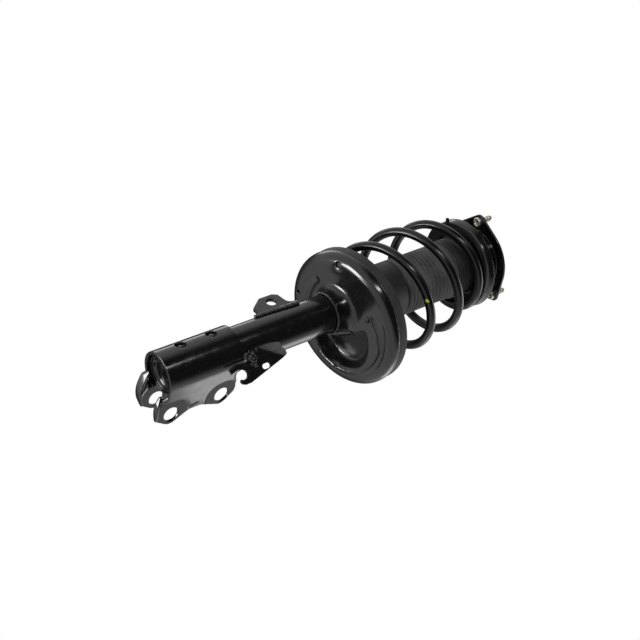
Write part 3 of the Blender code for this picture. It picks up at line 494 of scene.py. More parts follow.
def lofted(name, loops, closed=True):
    """Skins equal loops of points. A closed run is a ring, and an open one gets end faces."""
    width = len(loops[0])
    points = [point for loop in loops for point in loop]
    faces = []
    for row in range(len(loops) if closed else len(loops) - 1):
        low, high = row * width, (row + 1) % len(loops) * width
        faces += [(low + i, low + (i + 1) % width, high + (i + 1) % width, high + i)
                  for i in range(width)]
    if not closed:
        faces += [tuple(range(width)), tuple(range((len(loops) - 1) * width, len(points)))]
    return mesh_piece(name, points, faces)


def turned(name, profile, segments=112, place=Matrix()):
    """Turns a (radius, z) profile about Z. One that starts and ends on the axis is solid."""
    points, rows = [], []
    for radius, z in profile:
        if radius < 1e-6:
            rows.append([len(points)] * segments)
            points.append(place @ Vector((0.0, 0.0, z)))
            continue
        rows.append(list(range(len(points), len(points) + segments)))
        for i in range(segments):
            angle = TURN * i / segments
            points.append(place @ Vector((radius * math.cos(angle), radius * math.sin(angle), z)))
    solid = profile[0][0] < 1e-6
    faces = []
    for row in range(len(rows) - 1 if solid else len(rows)):
        low, high = rows[row], rows[(row + 1) % len(rows)]
        for i in range(segments):
            j = (i + 1) % segments
            face = [low[i], low[j], high[j], high[i]]
            faces.append([v for k, v in enumerate(face) if v != face[k - 1]])
    return mesh_piece(name, points, faces)


def resampled(loop, step):
    """The loop with points added so that none are further apart than a step."""
    out = []
    for i, start in enumerate(loop):
        end = loop[(i + 1) % len(loop)]
        count = max(1, math.ceil(math.dist(start, end) / step))
        out += [(start[0] + (end[0] - start[0]) * k / count,
                 start[1] + (end[1] - start[1]) * k / count) for k in range(count)]
    return np.array(out)


def surrounds(loop, points):
    """True for each of the points that a closed loop goes round."""
    x, y = points[:, 0:1], points[:, 1:2]
    x1, y1 = loop[:, 0], loop[:, 1]
    x2, y2 = np.roll(x1, -1), np.roll(y1, -1)
    rise = np.where(y2 == y1, 1e-12, y2 - y1)
    hit = ((y1 > y) != (y2 > y)) & (x < (x2 - x1) * (y - y1) / rise + x1)
    return hit.sum(axis=1) % 2 == 1


def leftward(loop):
    """How far each point of a loop moves for an inset of one, with the metal on its left."""
    ahead = np.roll(loop, -1, axis=0) - loop
    ahead /= np.linalg.norm(ahead, axis=1, keepdims=True)
    behind = np.roll(ahead, 1, axis=0)
    after = np.stack([-ahead[:, 1], ahead[:, 0]], axis=1)
    before = np.stack([-behind[:, 1], behind[:, 0]], axis=1)
    square = 1.0 + np.sum(after * before, axis=1, keepdims=True)
    return (after + before) / np.maximum(square, 0.5)


def pressing(name, outline, holes, step, place, thickness, edge):
    """A sheet-metal pressing from a flat blank.

    place gives a blank point's spot on one face, and the other face lies a thickness off it.
    Every rim and hole gets a rounded edge."""
    loops = []
    for index, loop in enumerate([outline, *holes]):
        loop = resampled(loop, step)
        area = np.sum(loop[:, 0] * np.roll(loop[:, 1], -1) - np.roll(loop[:, 0], -1) * loop[:, 1])
        loops.append(loop if (area > 0) == (index == 0) else loop[::-1])
    insets = [leftward(loop) for loop in loops]
    bounds = [loop + inset * edge for loop, inset in zip(loops, insets)]
    low, high = bounds[0].min(axis=0), bounds[0].max(axis=0)
    rows = np.arange(low[1], high[1], step * 0.866)
    grid = np.array([(x + (step / 2 if k % 2 else 0.0), y) for k, y in enumerate(rows)
                     for x in np.arange(low[0], high[0], step)])
    rims = np.concatenate(bounds)
    keep = surrounds(bounds[0], grid)
    for hole in bounds[1:]:
        keep &= ~surrounds(hole, grid)
    grid = grid[keep]
    near = np.array([np.min(np.sum((rims - point) ** 2, axis=1)) for point in grid])
    grid = grid[near > (0.6 * step) ** 2]
    flat = np.concatenate([rims, grid])
    seams, start = [], 0
    for loop in bounds:
        seams += [(start + i, start + (i + 1) % len(loop)) for i in range(len(loop))]
        start += len(loop)
    spots, _, triangles, origins, _, _ = delaunay_2d_cdt(
        [Vector(point) for point in flat], seams, [], 0, 1e-6)
    spots = np.array([tuple(spot) for spot in spots])
    centres = np.array([spots[list(face)].mean(axis=0) for face in triangles])
    keep = surrounds(bounds[0], centres)
    for hole in bounds[1:]:
        keep &= ~surrounds(hole, centres)
    triangles = [face for face, kept in zip(triangles, keep) if kept]
    home = {given: index for index, source in enumerate(origins) for given in source}

    def offset(spot, depth):
        """A blank point's place, at a depth off the first face."""
        u, v = spot
        reach = 0.15
        along = Vector(place(u + reach, v)) - Vector(place(u - reach, v))
        across = Vector(place(u, v + reach)) - Vector(place(u, v - reach))
        return Vector(place(u, v)) + along.cross(across).normalized() * depth

    points = [offset(spot, 0.0) for spot in spots] + [offset(spot, thickness) for spot in spots]
    count = len(spots)
    faces = [tuple(face[::-1]) for face in triangles]
    faces += [tuple(i + count for i in face) for face in triangles]
    quarter = [(edge * (1 - math.sin(a)), edge * (1 - math.cos(a)))
               for a in (math.radians(30), math.radians(60), math.radians(90))]
    section = quarter + [(inward, thickness - depth) for inward, depth in reversed(quarter)]
    start = 0
    for loop, inset in zip(loops, insets):
        size = len(loop)
        rings = [[home[start + i] for i in range(size)]]
        for inward, depth in section:
            rings.append(list(range(len(points), len(points) + size)))
            points += [offset(spot + move * inward, depth) for spot, move in zip(loop, inset)]
        rings.append([home[start + i] + count for i in range(size)])
        for low_ring, high_ring in zip(rings, rings[1:]):
            faces += [(low_ring[i], low_ring[(i + 1) % size], high_ring[(i + 1) % size],
                       high_ring[i]) for i in range(size)]
        start += size
    return mesh_piece(name, points, faces, turn_out=False)


def circle(x, y, radius, steps=40):
    """A closed loop of points about (x, y)."""
    return [(x + radius * math.cos(TURN * i / steps), y + radius * math.sin(TURN * i / steps))
            for i in range(steps)]


def arc(x, y, radius, start, end, steps):
    """Points about (x, y) from one angle to another, in degrees."""
    angles = [math.radians(start + (end - start) * i / steps) for i in range(steps + 1)]
    return [(x + radius * math.cos(a), y + radius * math.sin(a)) for a in angles]


def ease(value):
    """0 below 0 and 1 above 1, with a smooth rise between."""
    value = min(max(value, 0.0), 1.0)
    return value * value * (3.0 - 2.0 * value)


def swell(value, middle, half_width):
    """A smooth bump of height 1, that is 0 at a half width from its middle."""
    away = abs(value - middle) / half_width
    return (0.5 + 0.5 * math.cos(math.pi * away)) if away < 1.0 else 0.0


def between(angle, start, end, soft=4.0):
    """1 from one angle to another in degrees, easing to 0 over a few degrees outside."""
    middle, half = (start + end) / 2, (end - start) / 2
    away = abs((angle - middle + 180.0) % 360.0 - 180.0)
    return ease((half + soft - away) / soft)


def polar(radius, degrees, z):
    """A point at a radius, an angle and a height."""
    angle = math.radians(degrees)
    return (radius * math.cos(angle), radius * math.sin(angle), z)


# ---------------------------------------------------------------- knuckle bracket

# The wrap follows the tube until a bend of the other hand lays the sheet flat along the ear.
BEND_Y = EAR_FACE + EAR_BEND
BEND_X = math.sqrt((WRAP_INNER + EAR_BEND) ** 2 - BEND_Y ** 2)
BEND_START = math.atan2(BEND_Y, BEND_X)
WRAP_RUN = WRAP_INNER * (math.pi - BEND_START)
BEND_RUN = EAR_BEND * (math.pi / 2 - BEND_START)
EAR_RUN = WRAP_RUN + BEND_RUN - BEND_X


def bracket_plan(run):
    """A point of the bracket's inner face in plan, and the way out, by run from its back."""
    side = -1.0 if run >= 0 else 1.0
    run = abs(run)
    if run < WRAP_RUN:
        angle = math.pi - run / WRAP_INNER
        spot = (WRAP_INNER * math.cos(angle), WRAP_INNER * math.sin(angle))
        out = (math.cos(angle), math.sin(angle))
    elif run < WRAP_RUN + BEND_RUN:
        angle = math.pi + BEND_START + (run - WRAP_RUN) / EAR_BEND
        spot = (BEND_X + EAR_BEND * math.cos(angle), BEND_Y + EAR_BEND * math.sin(angle))
        out = (-math.cos(angle), -math.sin(angle))
    else:
        spot = (run - EAR_RUN, EAR_FACE)
        out = (0.0, 1.0)
    return (spot[0], side * spot[1]), (out[0], side * out[1])


def bolt_seat(run, z):
    """One on the flat discs that the knuckle bolts' heads seat on, and zero around them."""
    x = abs(run) - EAR_RUN
    away = min(math.hypot(x - BOLT_X, z - height) for height in (BOLT_LOW, BOLT_HIGH))
    return ease((PAD_RADIUS + 1.4 - away) / PAD_FILLET)


BELLY_START = (5.26, 24.75)
BELLY_SLOPE = 0.25
BELLY_BEND = 38.0
BELLY_FADE = 18.0
BELLY_FOOT = -6.0
BELLY_HEAD = 90.0


def belly_reach(x):
    """How far the sheet's inner face stands off the middle plane between the bolt seats."""
    if x <= BELLY_BEND:
        return BELLY_START[1] - BELLY_SLOPE * (x - BELLY_START[0])
    past = min(x - BELLY_BEND, BELLY_FADE)
    level = BELLY_START[1] - BELLY_SLOPE * (BELLY_BEND - BELLY_START[0])
    return level - BELLY_SLOPE * (past - past * past / (2 * BELLY_FADE))


def bracket_point(run, z):
    """A point of the sheet's inner face, full between the bolt seats and drawn in on them."""
    (x, y), (_, out_y) = bracket_plan(run)
    seat = bolt_seat(run, z)
    y += out_y * PAD_RISE * seat
    full = (1.0 - seat) * ease((z - BELLY_FOOT) / 8.0) * (1.0 - ease((z - BELLY_HEAD) / 10.0))
    if x > BELLY_START[0]:
        side = -1.0 if run >= 0 else 1.0
        y += (side * belly_reach(x) - y) * full
    return (x, y, z)


def bracket_outline():
    """The flat blank of the wrap and its two ears, as (run, z)."""
    low, high, bolt = BOLT_LOW, BOLT_HIGH, BOLT_X + EAR_RUN
    half = [(56.0, 0.0, 3.0), (66.5, low - 14.6, 8.0), (34.0 + EAR_RUN, low - 21.0, 6.0),
            (bolt + 3.0, low - 21.1, 6.0), (bolt + 15.4, low - 3.0, 13.0),
            (bolt + 2.6, low + 24.2, 18.0), (bolt + 2.6, high - 29.5, 18.0),
            (bolt + 13.8, high - 2.0, 9.0), (bolt - 0.4, EAR_TOP, 12.0), (66.0, EAR_TOP, 16.0),
            (47.0, WRAP_HEIGHT, 16.0)]
    mirrored = [(-run, z, radius) for run, z, radius in reversed(half)]
    return rounded(half + mirrored, 8)


def flange_section(spot, side):
    """A rounded section of the flange that stiffens an ear's lower edge."""
    x, z, outer = spot
    inner = EAR_FACE + 0.8
    return [(x, side * y, height) for y, height in rounded([
        (inner, z, 0.5), (outer, z, 1.3), (outer, z + FLANGE_SHEET, 1.3),
        (inner, z + FLANGE_SHEET, 0.5)], 3)]


def smooth_path(points, per_span=6):
    """A smooth run of points through the given ones."""
    out = []
    for i in range(len(points) - 1):
        p0, p1 = points[max(i - 1, 0)], points[i]
        p2, p3 = points[i + 1], points[min(i + 2, len(points) - 1)]
        for k in range(per_span):
            t = k / per_span
            out.append(tuple(0.5 * (2 * b + (c - a) * t + (2 * a - 5 * b + 4 * c - d) * t * t
                                    + (3 * b - a - 3 * c + d) * t ** 3)
                             for a, b, c, d in zip(p0, p1, p2, p3)))
    return out + [tuple(points[-1])]


def build_bracket(paint):
    """The sheet wrapped round the tube, with its two ears and their lower flanges."""
    bolt_run = BOLT_X + EAR_RUN
    holes = [circle(side * bolt_run, z, BOLT_HOLE, 48)
             for side in (-1, 1) for z in (BOLT_LOW, BOLT_HIGH)]
    slit = [(47.4, 34.9), (45.4, 45.6), (43.4, 45.3), (45.4, 34.6)]
    for side in (-1, 1):
        holes.append(rounded([(side * (x + EAR_RUN), z, 0.7) for x, z in slit[::side]], 3))
    wrap_run = -WRAP_INNER * math.radians(180.0 - WRAP_HOLE_ANGLE)
    holes += [circle(wrap_run, z, WRAP_HOLE, 36) for z in WRAP_HOLES]
    sheet = pressing("knuckle_bracket_sheet", bracket_outline(), holes, 1.25, bracket_point,
                     BRACKET_SHEET, 0.7)
    near = [(19.0, -7.0, 18.6), (26.0, -11.4, 22.0), (34.0, -13.4, 22.6), (44.0, -13.8, 22.0),
            (53.0, -12.6, 18.4)]
    far = [(5.0, -2.6, 19.0), (11.0, -6.2, 25.5), (21.0, -10.2, 27.0), (32.0, -13.4, 27.0),
           (44.0, -13.8, 25.5), (53.0, -12.6, 18.8)]
    flanges = [lofted(f"flange_{k}", [flange_section(spot, side) for spot in smooth_path(path)],
                      closed=False) for k, (path, side) in enumerate(((near, -1), (far, 1)))]
    bracket = merged("knuckle_bracket_pressing", [sheet, *flanges])
    finished(bracket, paint, "strut_body", ["knuckle_bracket"])


# ---------------------------------------------------------------- tube, tab and hose bracket

def build_tube(paint):
    """The rolled tube and the dished base that closes it."""
    tube = turned("damper_tube", rounded([
        (TUBE_BORE, TUBE_BOTTOM, 0.5), (TUBE_RADIUS, TUBE_BOTTOM, 0.9),
        (TUBE_RADIUS, TUBE_TOP, 0.9), (TUBE_BORE, TUBE_TOP, 0.5)], 3), 160)
    finished(tube, paint, "strut_body", ["strut_tube"])
    rim = TUBE_BORE - 0.2
    base = turned("dished_tube_base", rounded([
        (0.0, 13.2, 0), (12.0, 12.2, 8.0), (18.6, 9.6, 3.0), (20.2, 6.0, 1.0), (rim, 6.0, 0.8),
        (rim, 12.0, 0.8), (12.0, 15.4, 3.0), (0.0, 16.0, 0)], 4), 96)
    finished(base, paint, "strut_body", ["tube_base"])


def build_link_tab(paint):
    """The tab for the anti-roll bar's link, and its foot rolled to the tube."""
    outline = rounded([
        (22.4, 162.2, 0.5), (42.5, 163.0, 3.0), (56.0, 180.5, 3.0), (56.0, 200.0, 3.0),
        (51.5, 206.8, 3.0), (33.5, 209.0, 8.0), (28.5, 223.0, 2.0), (22.4, 223.0, 0.5)], 5)
    tab = pressing("link_tab_plate", outline, [circle(42.2, 190.5, 6.5, 40)], 2.0,
                   lambda y, z: (TAB_FACE, y, z), TAB_SHEET, 0.8)
    finished(tab, paint, "strut_body", ["link_tab"])
    foot = pressing("link_tab_foot", rounded([
        (0.0, 163.0, 1.0), (15.5, 146.0, 3.0), (20.8, 208.0, 4.0), (0.0, 208.0, 1.0)], 5), [], 2.0,
        lambda run, z: polar(FOOT_RADIUS, FOOT_ANGLE + math.degrees(run / FOOT_RADIUS), z),
        3.2, 0.8)
    finished(foot, paint, "strut_body")


HOSE_NORMAL = math.radians(-134.5)
HOSE_ALONG = HOSE_NORMAL + math.pi / 2
HOSE_FOLD_START = Vector((12.0, 121.6))
HOSE_FOLD = (Vector((31.0, 151.1)) - HOSE_FOLD_START).normalized()
HOSE_FOLD_LEAN = 0.28
HOSE_FOLD_SOFTNESS = 1.5
HOSE_FACE = 26.5


def hose_point(out, z):
    """A point of the hose bracket's back face, which folds toward the tube along a line."""
    across = HOSE_FOLD.y * (out - HOSE_FOLD_START.x) - HOSE_FOLD.x * (z - HOSE_FOLD_START.y)
    fold = 0.5 * (math.sqrt(across * across + HOSE_FOLD_SOFTNESS) - across)
    off = HOSE_FACE - HOSE_SHEET - HOSE_FOLD_LEAN * fold
    return (off * math.cos(HOSE_NORMAL) + out * math.cos(HOSE_ALONG),
            off * math.sin(HOSE_NORMAL) + out * math.sin(HOSE_ALONG), z)


def build_hose_bracket(paint):
    """The thin plate with a hook for the brake hose and a slot for a lead."""
    outline = [(9.0, 109.0), (9.0, 152.0), (11.4, 154.1), (15.6, 157.2), (18.8, 154.3),
               (25.1, 158.6), (29.5, 158.1), (31.0, 155.6), (46.6, 99.1), (46.8, 91.6),
               (44.5, 86.6), (41.0, 85.0)] + arc(34.2, 91.3, 6.0, -42.0, 172.0, 24)
    outline += [(26.8, 87.6), (29.5, 77.6), (22.9, 76.0), (19.8, 87.1), (21.5, 98.6),
                (20.5, 103.2)]
    slot = arc(34.2, 127.3, 3.3, 0.0, 180.0, 12) + arc(34.2, 122.9, 3.3, 180.0, 360.0, 12)
    plate = pressing("hose_bracket_plate", outline, [slot], 1.6, hose_point,
                     HOSE_SHEET, 0.6)
    finished(plate, paint, "strut_body", ["hose_bracket"])


# ---------------------------------------------------------------- lower seat and its rubber

FACET_CORNER = (22.8, -3.3)
FACET_ALONG = (0.614, 0.789)
DRAWN_NECK = 0.78


def pocket_height(x, y):
    """Height of the round pocket, whose floor leans, with a flat facet left beside the neck."""
    inside = POCKET[2] - math.hypot(x - POCKET[0], y - POCKET[1])
    from_x, from_y = x - FACET_CORNER[0], y - FACET_CORNER[1]
    across = FACET_ALONG[1] * from_x - FACET_ALONG[0] * from_y
    along = FACET_ALONG[0] * from_x + FACET_ALONG[1] * from_y
    facet = ease(0.5 - across / 6.0) * ease((20.0 - along) / 9.0)
    floor = POCKET_DEPTH + 0.09 * (x - POCKET[0]) + 0.08 * (y - POCKET[1])
    return floor * ease(0.5 + inside / POCKET_WALL) * (1.0 - facet)


def pan_relief(x, y):
    """The beads and steps pressed into the seat, as height in its own frame."""
    radius = math.hypot(x, y)
    angle = math.degrees(math.atan2(y, x))
    inset = 72.0 - 4.4 * ease((-84.0 - angle) / 13.0) - 6.1 * ease((-97.0 - angle) / 23.0)
    relief = -1.5 * swell(radius, inset, 2.6) * between(angle, -120.0, 20.0, 8.0)
    relief += 1.4 * swell(radius, 75.5, 2.2) * between(angle, -112.0, -66.0, 8.0)
    relief += 2.8 * swell(radius, 60.0, 6.0) * between(angle, 89.0, 126.0, 8.0)
    dome_x, dome_y, _ = polar(51.3, -122.5, 0.0)
    relief += 2.2 * swell(math.hypot(x - dome_x, y - dome_y), 0.0, 4.6)
    eye_x, eye_y, _ = polar(77.6, 169.0, 0.0)
    relief += 1.6 * swell(math.hypot(x - eye_x, y - eye_y), 0.0, 9.5)
    relief -= 1.2 * swell(math.hypot(x + 34.0, y - 16.0), 0.0, 5.0)
    return relief


def pan_surface(x, y):
    """A point of the seat's underside outside the neck, which turns up into the rim."""
    radius = math.hypot(x, y)
    if radius <= PAN_FLAT:
        return PAN_FRAME @ Vector((x, y, pocket_height(x, y) + pan_relief(x, y)))
    fillet = PAN_RADIUS - PAN_FLAT
    run = radius - PAN_FLAT
    angle = min(run / fillet, math.pi / 2)
    straight = max(run - fillet * math.pi / 2, 0.0)
    out = PAN_FLAT + fillet * math.sin(angle)
    height = fillet * (1.0 - math.cos(angle)) + straight
    return PAN_FRAME @ Vector((x / radius * out, y / radius * out, height))


def pan_blank(x, y):
    """The seat blank's spot under a point of the strut's own plan."""
    return x - PAN_MIDDLE.x, (y - PAN_MIDDLE.y) / math.cos(PAN_TILT)


def pan_point(x, y):
    """A point of the seat's blank, whose middle is drawn down into the collar on the tube."""
    flat = PAN_FRAME @ Vector((x, y, 0.0))
    reach = math.hypot(flat.x, flat.y)
    if reach >= NECK_RADIUS:
        return pan_surface(x, y)
    scale = NECK_RADIUS / max(reach, 0.01)
    top = pan_surface(*pan_blank(flat.x * scale, flat.y * scale))
    top_radius = math.hypot(top.x, top.y)
    drawn = (NECK_RADIUS - reach) / (NECK_RADIUS - BLANK_BORE)
    bend = max(1.0 - drawn / DRAWN_NECK, 0.0)
    radius = COLLAR_RADIUS + (top_radius - COLLAR_RADIUS) * (1.0 - math.cos(bend * math.pi / 2))
    z = COLLAR_TOP + (top.z - COLLAR_TOP) * math.sin(bend * math.pi / 2)
    if bend == 0.0:
        z = COLLAR_TOP - (COLLAR_TOP - COLLAR_BOTTOM) * (drawn - DRAWN_NECK) / (1.0 - DRAWN_NECK)
    return Vector((top.x / top_radius * radius, top.y / top_radius * radius, z))


def build_lower_seat(paint):
    """The dished seat, drawn down into a collar, with its eye and its drain holes."""
    blank = PAN_FLAT + (PAN_RADIUS - PAN_FLAT) * math.pi / 2 + PAN_RIM
    holes = [[pan_blank(x, y) for x, y in circle(0.0, 0.0, BLANK_BORE, 48)]]
    for radius, degrees, hole in ((79.4, 169.0, 5.0), (77.4, 91.0, 2.6), (71.6, -2.2, 2.2)):
        x, y, _ = polar(radius, degrees, 0.0)
        holes.append(circle(x, y, hole, 24))
    seat = pressing("lower_seat_pressing", circle(0.0, 0.0, blank, 220), holes, 2.0, pan_point,
                    PAN_SHEET, 0.6)
    finished(seat, paint, "strut_body", ["lower_spring_seat"], sharp=50.0)


def coil_rise(turn):
    """Height of the lower end coil's centreline above the seat's trough."""
    return 16.8 + 14.0 * (turn - FIRST_TURN) ** 2


def rubber_floor(angle):
    """Height of the lower rubber under the wire, which climbs with the end coil."""
    phase = math.degrees(angle) - math.degrees(COIL_PHASE) - FIRST_TURN * 360.0 + 12.0
    turn = FIRST_TURN + (phase % 360.0 - 12.0) / 360.0
    return min(coil_rise(turn) - WIRE_RADIUS - 0.5, 16.0)


def build_lower_insulator(rubber):
    """The rubber ring in the seat's trough, with a lip that stands higher on one side."""
    segments = 180
    loops = []
    for i in range(segments):
        angle = TURN * i / segments
        floor = rubber_floor(angle)
        reach = POCKET[2] + POCKET_WALL / 2 + PAN_SHEET
        edge = POCKET[0] * math.cos(angle) + math.sqrt(
            reach ** 2 - (POCKET[0] * math.sin(angle)) ** 2)
        inner = max(edge + 3.0, 56.0) + 1.0
        degrees = math.degrees(angle)
        lip = between(degrees, -230.0, -47.0, 3.0)
        section = rounded([
            (inner, 3.1, 0.5), (78.5, 3.1, 3.0), (82.2, 5.2, 3.0), (85.6, 8.2, 3.0),
            (87.0, 11.0, 1.0), (87.2, 13.3, 0.2), (89.6, 13.3, 0.9), (89.6, 16.5, 1.5),
            (87.0 + 3.6 * lip, 25.0 + 2.2 * lip, 1.2), (84.2 + 3.2 * lip, 25.0 + 2.2 * lip, 1.2),
            (83.4, floor + 4.0, 2.0), (80.5, floor, 1.0),
            (inner, floor, 0.5)], 3)
        loops.append([tuple(PAN_FRAME @ Vector(polar(r, degrees, h))) for r, h in section])
    pad = lofted("lower_rubber_ring", loops)
    finished(pad, rubber, "strut_body", ["lower_insulator"])


# ---------------------------------------------------------------- spring and boot

def spring_point(turn):
    """The spring's centreline, its end coils eased onto the two seats."""
    angle = TURN * turn + COIL_PHASE
    radius = COIL_RADIUS - 12.5 * max(turn - 1.5, 0.0)
    rise = COIL_PITCH * (turn - 1.2) - 6.7 * max(turn - 2.0, 0.0) ** 2
    degrees = math.degrees(angle)
    free = Matrix.Rotation(PAN_TILT, 3, "X") @ Vector(polar(radius, degrees, rise))
    free += Vector((0.0, -3.2, 379.6))
    lower = PAN_FRAME @ (Vector(polar(66.5, degrees, coil_rise(turn))) + Vector((-5.0, -2.0, 0.0)))
    upper = Vector(polar(55.0, degrees, 457.0))
    point = free.lerp(lower, ease((0.05 - turn) / 0.7))
    return point.lerp(upper, ease((turn - 2.2) / 0.42))


def build_spring(coat, sweep):
    """The wound wire between its two seats."""
    steps = 340
    path = [spring_point(FIRST_TURN + (LAST_TURN - FIRST_TURN) * i / steps)
            for i in range(steps + 1)]
    widths = [WIRE_RADIUS] * len(path)
    widths[0] = widths[-1] = WIRE_RADIUS - 0.7
    spring = grown(path_piece("wound_coil_spring", path, widths), sweep,
                   {"Sides": 28, "Finish": coat})
    finished(spring, coat, None, ["coil_spring"])
    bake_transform(spring)


def build_boot(rubber, rib_rubber_painted_highlight, ribs):
    """The dust boot: a smooth barrel, the ribs, and a cuff with three fine grooves."""
    top = UPPER_SEAT_LOW - 0.3
    rows = [FIRST_RIB + RIB_ROW * k for k in range(round((LAST_RIB - FIRST_RIB) / RIB_ROW))]
    outer = [(BOOT_RADIUS, BOOT_BOTTOM), (BOOT_RADIUS, 316.0), (36.9, 316.8), (36.9, 317.6),
             (38.2, 318.6), (38.4, 320.5), (38.2, 322.4), (BOOT_RADIUS, 323.4),
             (BOOT_RADIUS, 350.0), (36.6, 351.2), (36.6, 352.4), (BOOT_RADIUS, 353.4)]
    outer += [(BOOT_RADIUS, z) for z in rows]
    outer += [(BOOT_RADIUS, 437.0), (CUFF_RADIUS, 438.6)]
    for groove in (442.2, 446.8):
        outer += [(CUFF_RADIUS, groove - 0.6), (CUFF_GROOVE, groove), (CUFF_RADIUS, groove + 0.6)]
    outer += [(CUFF_RADIUS, 450.8), (CUFF_GROOVE, 451.4), (39.5, 452.2), (39.5, top)]
    wall = [(BOOT_BORE, top), (BOOT_BORE, 450.0)] + [(BOOT_BORE, z) for z in reversed(rows)]
    wall += [(BOOT_BORE, 291.0), (25.5, 291.0), (25.5, BOOT_BOTTOM)]
    sleeve = turned("bellows_dust_boot", outer + wall, 120)
    boot = grown(sleeve, ribs, {
        "First Rib": FIRST_RIB * MM, "Last Rib": LAST_RIB * MM, "Rib Pitch": RIB_PITCH * MM,
        "Rib Depth": RIB_DEPTH * MM, "Finish": rubber})
    finished(boot, rubber, None, ["dust_boot"], sharp=60.0)
    # The ribs take a lighter copy of the boot rubber: a painted highlight for the light that falls
    # on the rib crests.
    boot.data.materials.append(rib_rubber_painted_highlight)
    for face in boot.data.polygons:
        if (FIRST_RIB - 0.6) * MM < face.center.z < (LAST_RIB + 0.5) * MM:
            face.material_index = 1
    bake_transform(boot)


# ---------------------------------------------------------------- upper seat and top mount

def build_upper_seat(paint, rubber):
    """The upper rubber with its locating knob, and the dish over it."""
    low = UPPER_PAD_LOW
    ring = turned("upper_pad_ring", rounded([
        (42.5, low, 0.8), (60.0, low, 1.6), (60.0, low + 5.0, 1.6), (42.5, low + 5.0, 0.8)], 4))
    turn = Matrix.Rotation(math.radians(152.0), 4, "Z") @ Matrix.Translation(
        (55.0, 0.0, low + 2.5)) @ Matrix.Rotation(math.pi / 2, 4, "Y")
    knob = turned("upper_pad_knob", rounded([
        (0.0, 0.0, 0), (2.3, 0.0, 0.3), (2.3, 10.4, 1.4), (0.0, 10.4, 0)], 4), 24, turn)
    pad = merged("upper_rubber_ring", [ring, knob])
    finished(pad, rubber, "upper_seat", ["upper_insulator"])
    low = UPPER_SEAT_LOW
    dish = turned("upper_seat_dish", rounded([
        (30.0, low, 0.6), (55.7, low, 3.0), (58.8, low + 3.5, 3.0), (61.2, low + 11.0, 0.9),
        (58.7, low + 11.0, 0.9), (56.5, low + 4.5, 2.0), (53.7, low + 2.5, 2.0),
        (30.0, low + 2.5, 0.6)], 4), 140)
    finished(dish, paint, "upper_seat", ["upper_spring_seat"])


def ear_reach(away):
    """Reach of the plate at an angle from a stud: a round ear with straight flanks."""
    lean = math.acos((PLATE_RADIUS - PLATE_EAR) / STUD_CIRCLE)
    if away < math.atan2(PLATE_EAR * math.sin(lean), STUD_CIRCLE + PLATE_EAR * math.cos(lean)):
        across = STUD_CIRCLE * math.sin(away)
        return STUD_CIRCLE * math.cos(away) + math.sqrt(PLATE_EAR ** 2 - across ** 2)
    return PLATE_RADIUS / math.cos(max(lean - away, 0.0))


def plate_reach(degrees):
    """Edge of the mount plate, with an ear for each stud."""
    return max(ear_reach(abs(math.remainder(math.radians(degrees - stud), TURN)))
               for stud in STUD_ANGLES)


def build_mount_plate(paint):
    """The plate with its three ears and the cup for the rubber."""
    loops = []
    low, top = CUP_LOW, MOUNT_TOP
    for i in range(240):
        degrees = 360.0 * i / 240
        rim = plate_reach(degrees)
        section = rounded([
            (27.0, low, 0.8), (41.0, low, 2.4), (41.0, PLATE_LOW, 1.2), (rim, PLATE_LOW, 0.8),
            (rim, top, 0.8), (38.4, top, 2.2), (38.4, low + 2.6, 1.0), (27.0, low + 2.6, 0.8)], 4)
        loops.append([polar(r, degrees, z) for r, z in section])
    plate = lofted("top_mount_plate", loops)
    finished(plate, paint, "top_mount", ["mount_plate"])


def helix(radius, low, high, pitch, x=0.0, y=0.0, per_turn=18):
    """A thread's path about (x, y), and a width for each point that fades at both ends."""
    steps = int((high - low) / pitch * per_turn)
    path = [(x + radius * math.cos(TURN * i / per_turn), y + radius * math.sin(TURN * i / per_turn),
             low + pitch * i / per_turn) for i in range(steps + 1)]
    fade = [min(1.0, 0.2 + i / per_turn, 0.2 + (steps - i) / per_turn) for i in range(steps + 1)]
    return path, fade


def build_studs(zinc, sweep):
    """Three threaded studs with ring heads under the plate."""
    for index, degrees in enumerate(STUD_ANGLES):
        x, y, _ = polar(STUD_CIRCLE, degrees, 0.0)
        head = PLATE_LOW - 0.3
        shank = turned(f"stud_shank_{index + 1}", rounded([
            (0.0, head - 1.4, 0), (3.2, head - 1.4, 0.4), (4.3, head - 5.0, 0.7),
            (6.5, head - 5.0, 0.9), (6.5, head, 0.4), (3.6, head, 0.3),
            (3.6, STUD_TOP - 1.6, 0.5), (2.6, STUD_TOP, 0.4), (0.0, STUD_TOP, 0)], 4), 48,
            Matrix.Translation((x, y, 0.0)))
        path, fade = helix(3.55, MOUNT_TOP + 1.0, STUD_TOP - 1.7, 1.25, x, y)
        thread = grown(path_piece(f"stud_thread_{index + 1}", path, [0.55 * f for f in fade]),
                       sweep, {"Sides": 4, "Finish": zinc})
        stud = merged(f"threaded_stud_{index + 1}", [shank, thread])
        finished(stud, zinc, "top_mount", [f"mount_stud_{index + 1}"])


def hex_loops(across, low, high, bore):
    """A chamfered hexagon nut's rings, from its bore round its outside and back."""
    segments = 96
    profile = [(bore, low, 0), (across / 2 - 0.6, low, 0), (None, low + 0.2, 0),
               (None, high - 0.2, 1), (across / 2 - 0.6, high, 1), (bore + 0.8, high, 0),
               (bore, high - 0.8, 0)]
    loops = []
    for radius, z, upper in profile:
        ring = []
        for i in range(segments):
            degrees = 360.0 * i / segments
            corner = across / 2 / math.cos(math.radians((degrees + 30.0) % 60.0 - 30.0))
            reach = radius or corner
            drop = 0.55 * (corner - across / 2) if radius is None else 0.0
            ring.append(polar(reach, degrees, z - drop if upper else z + drop))
        loops.append(ring)
    return loops


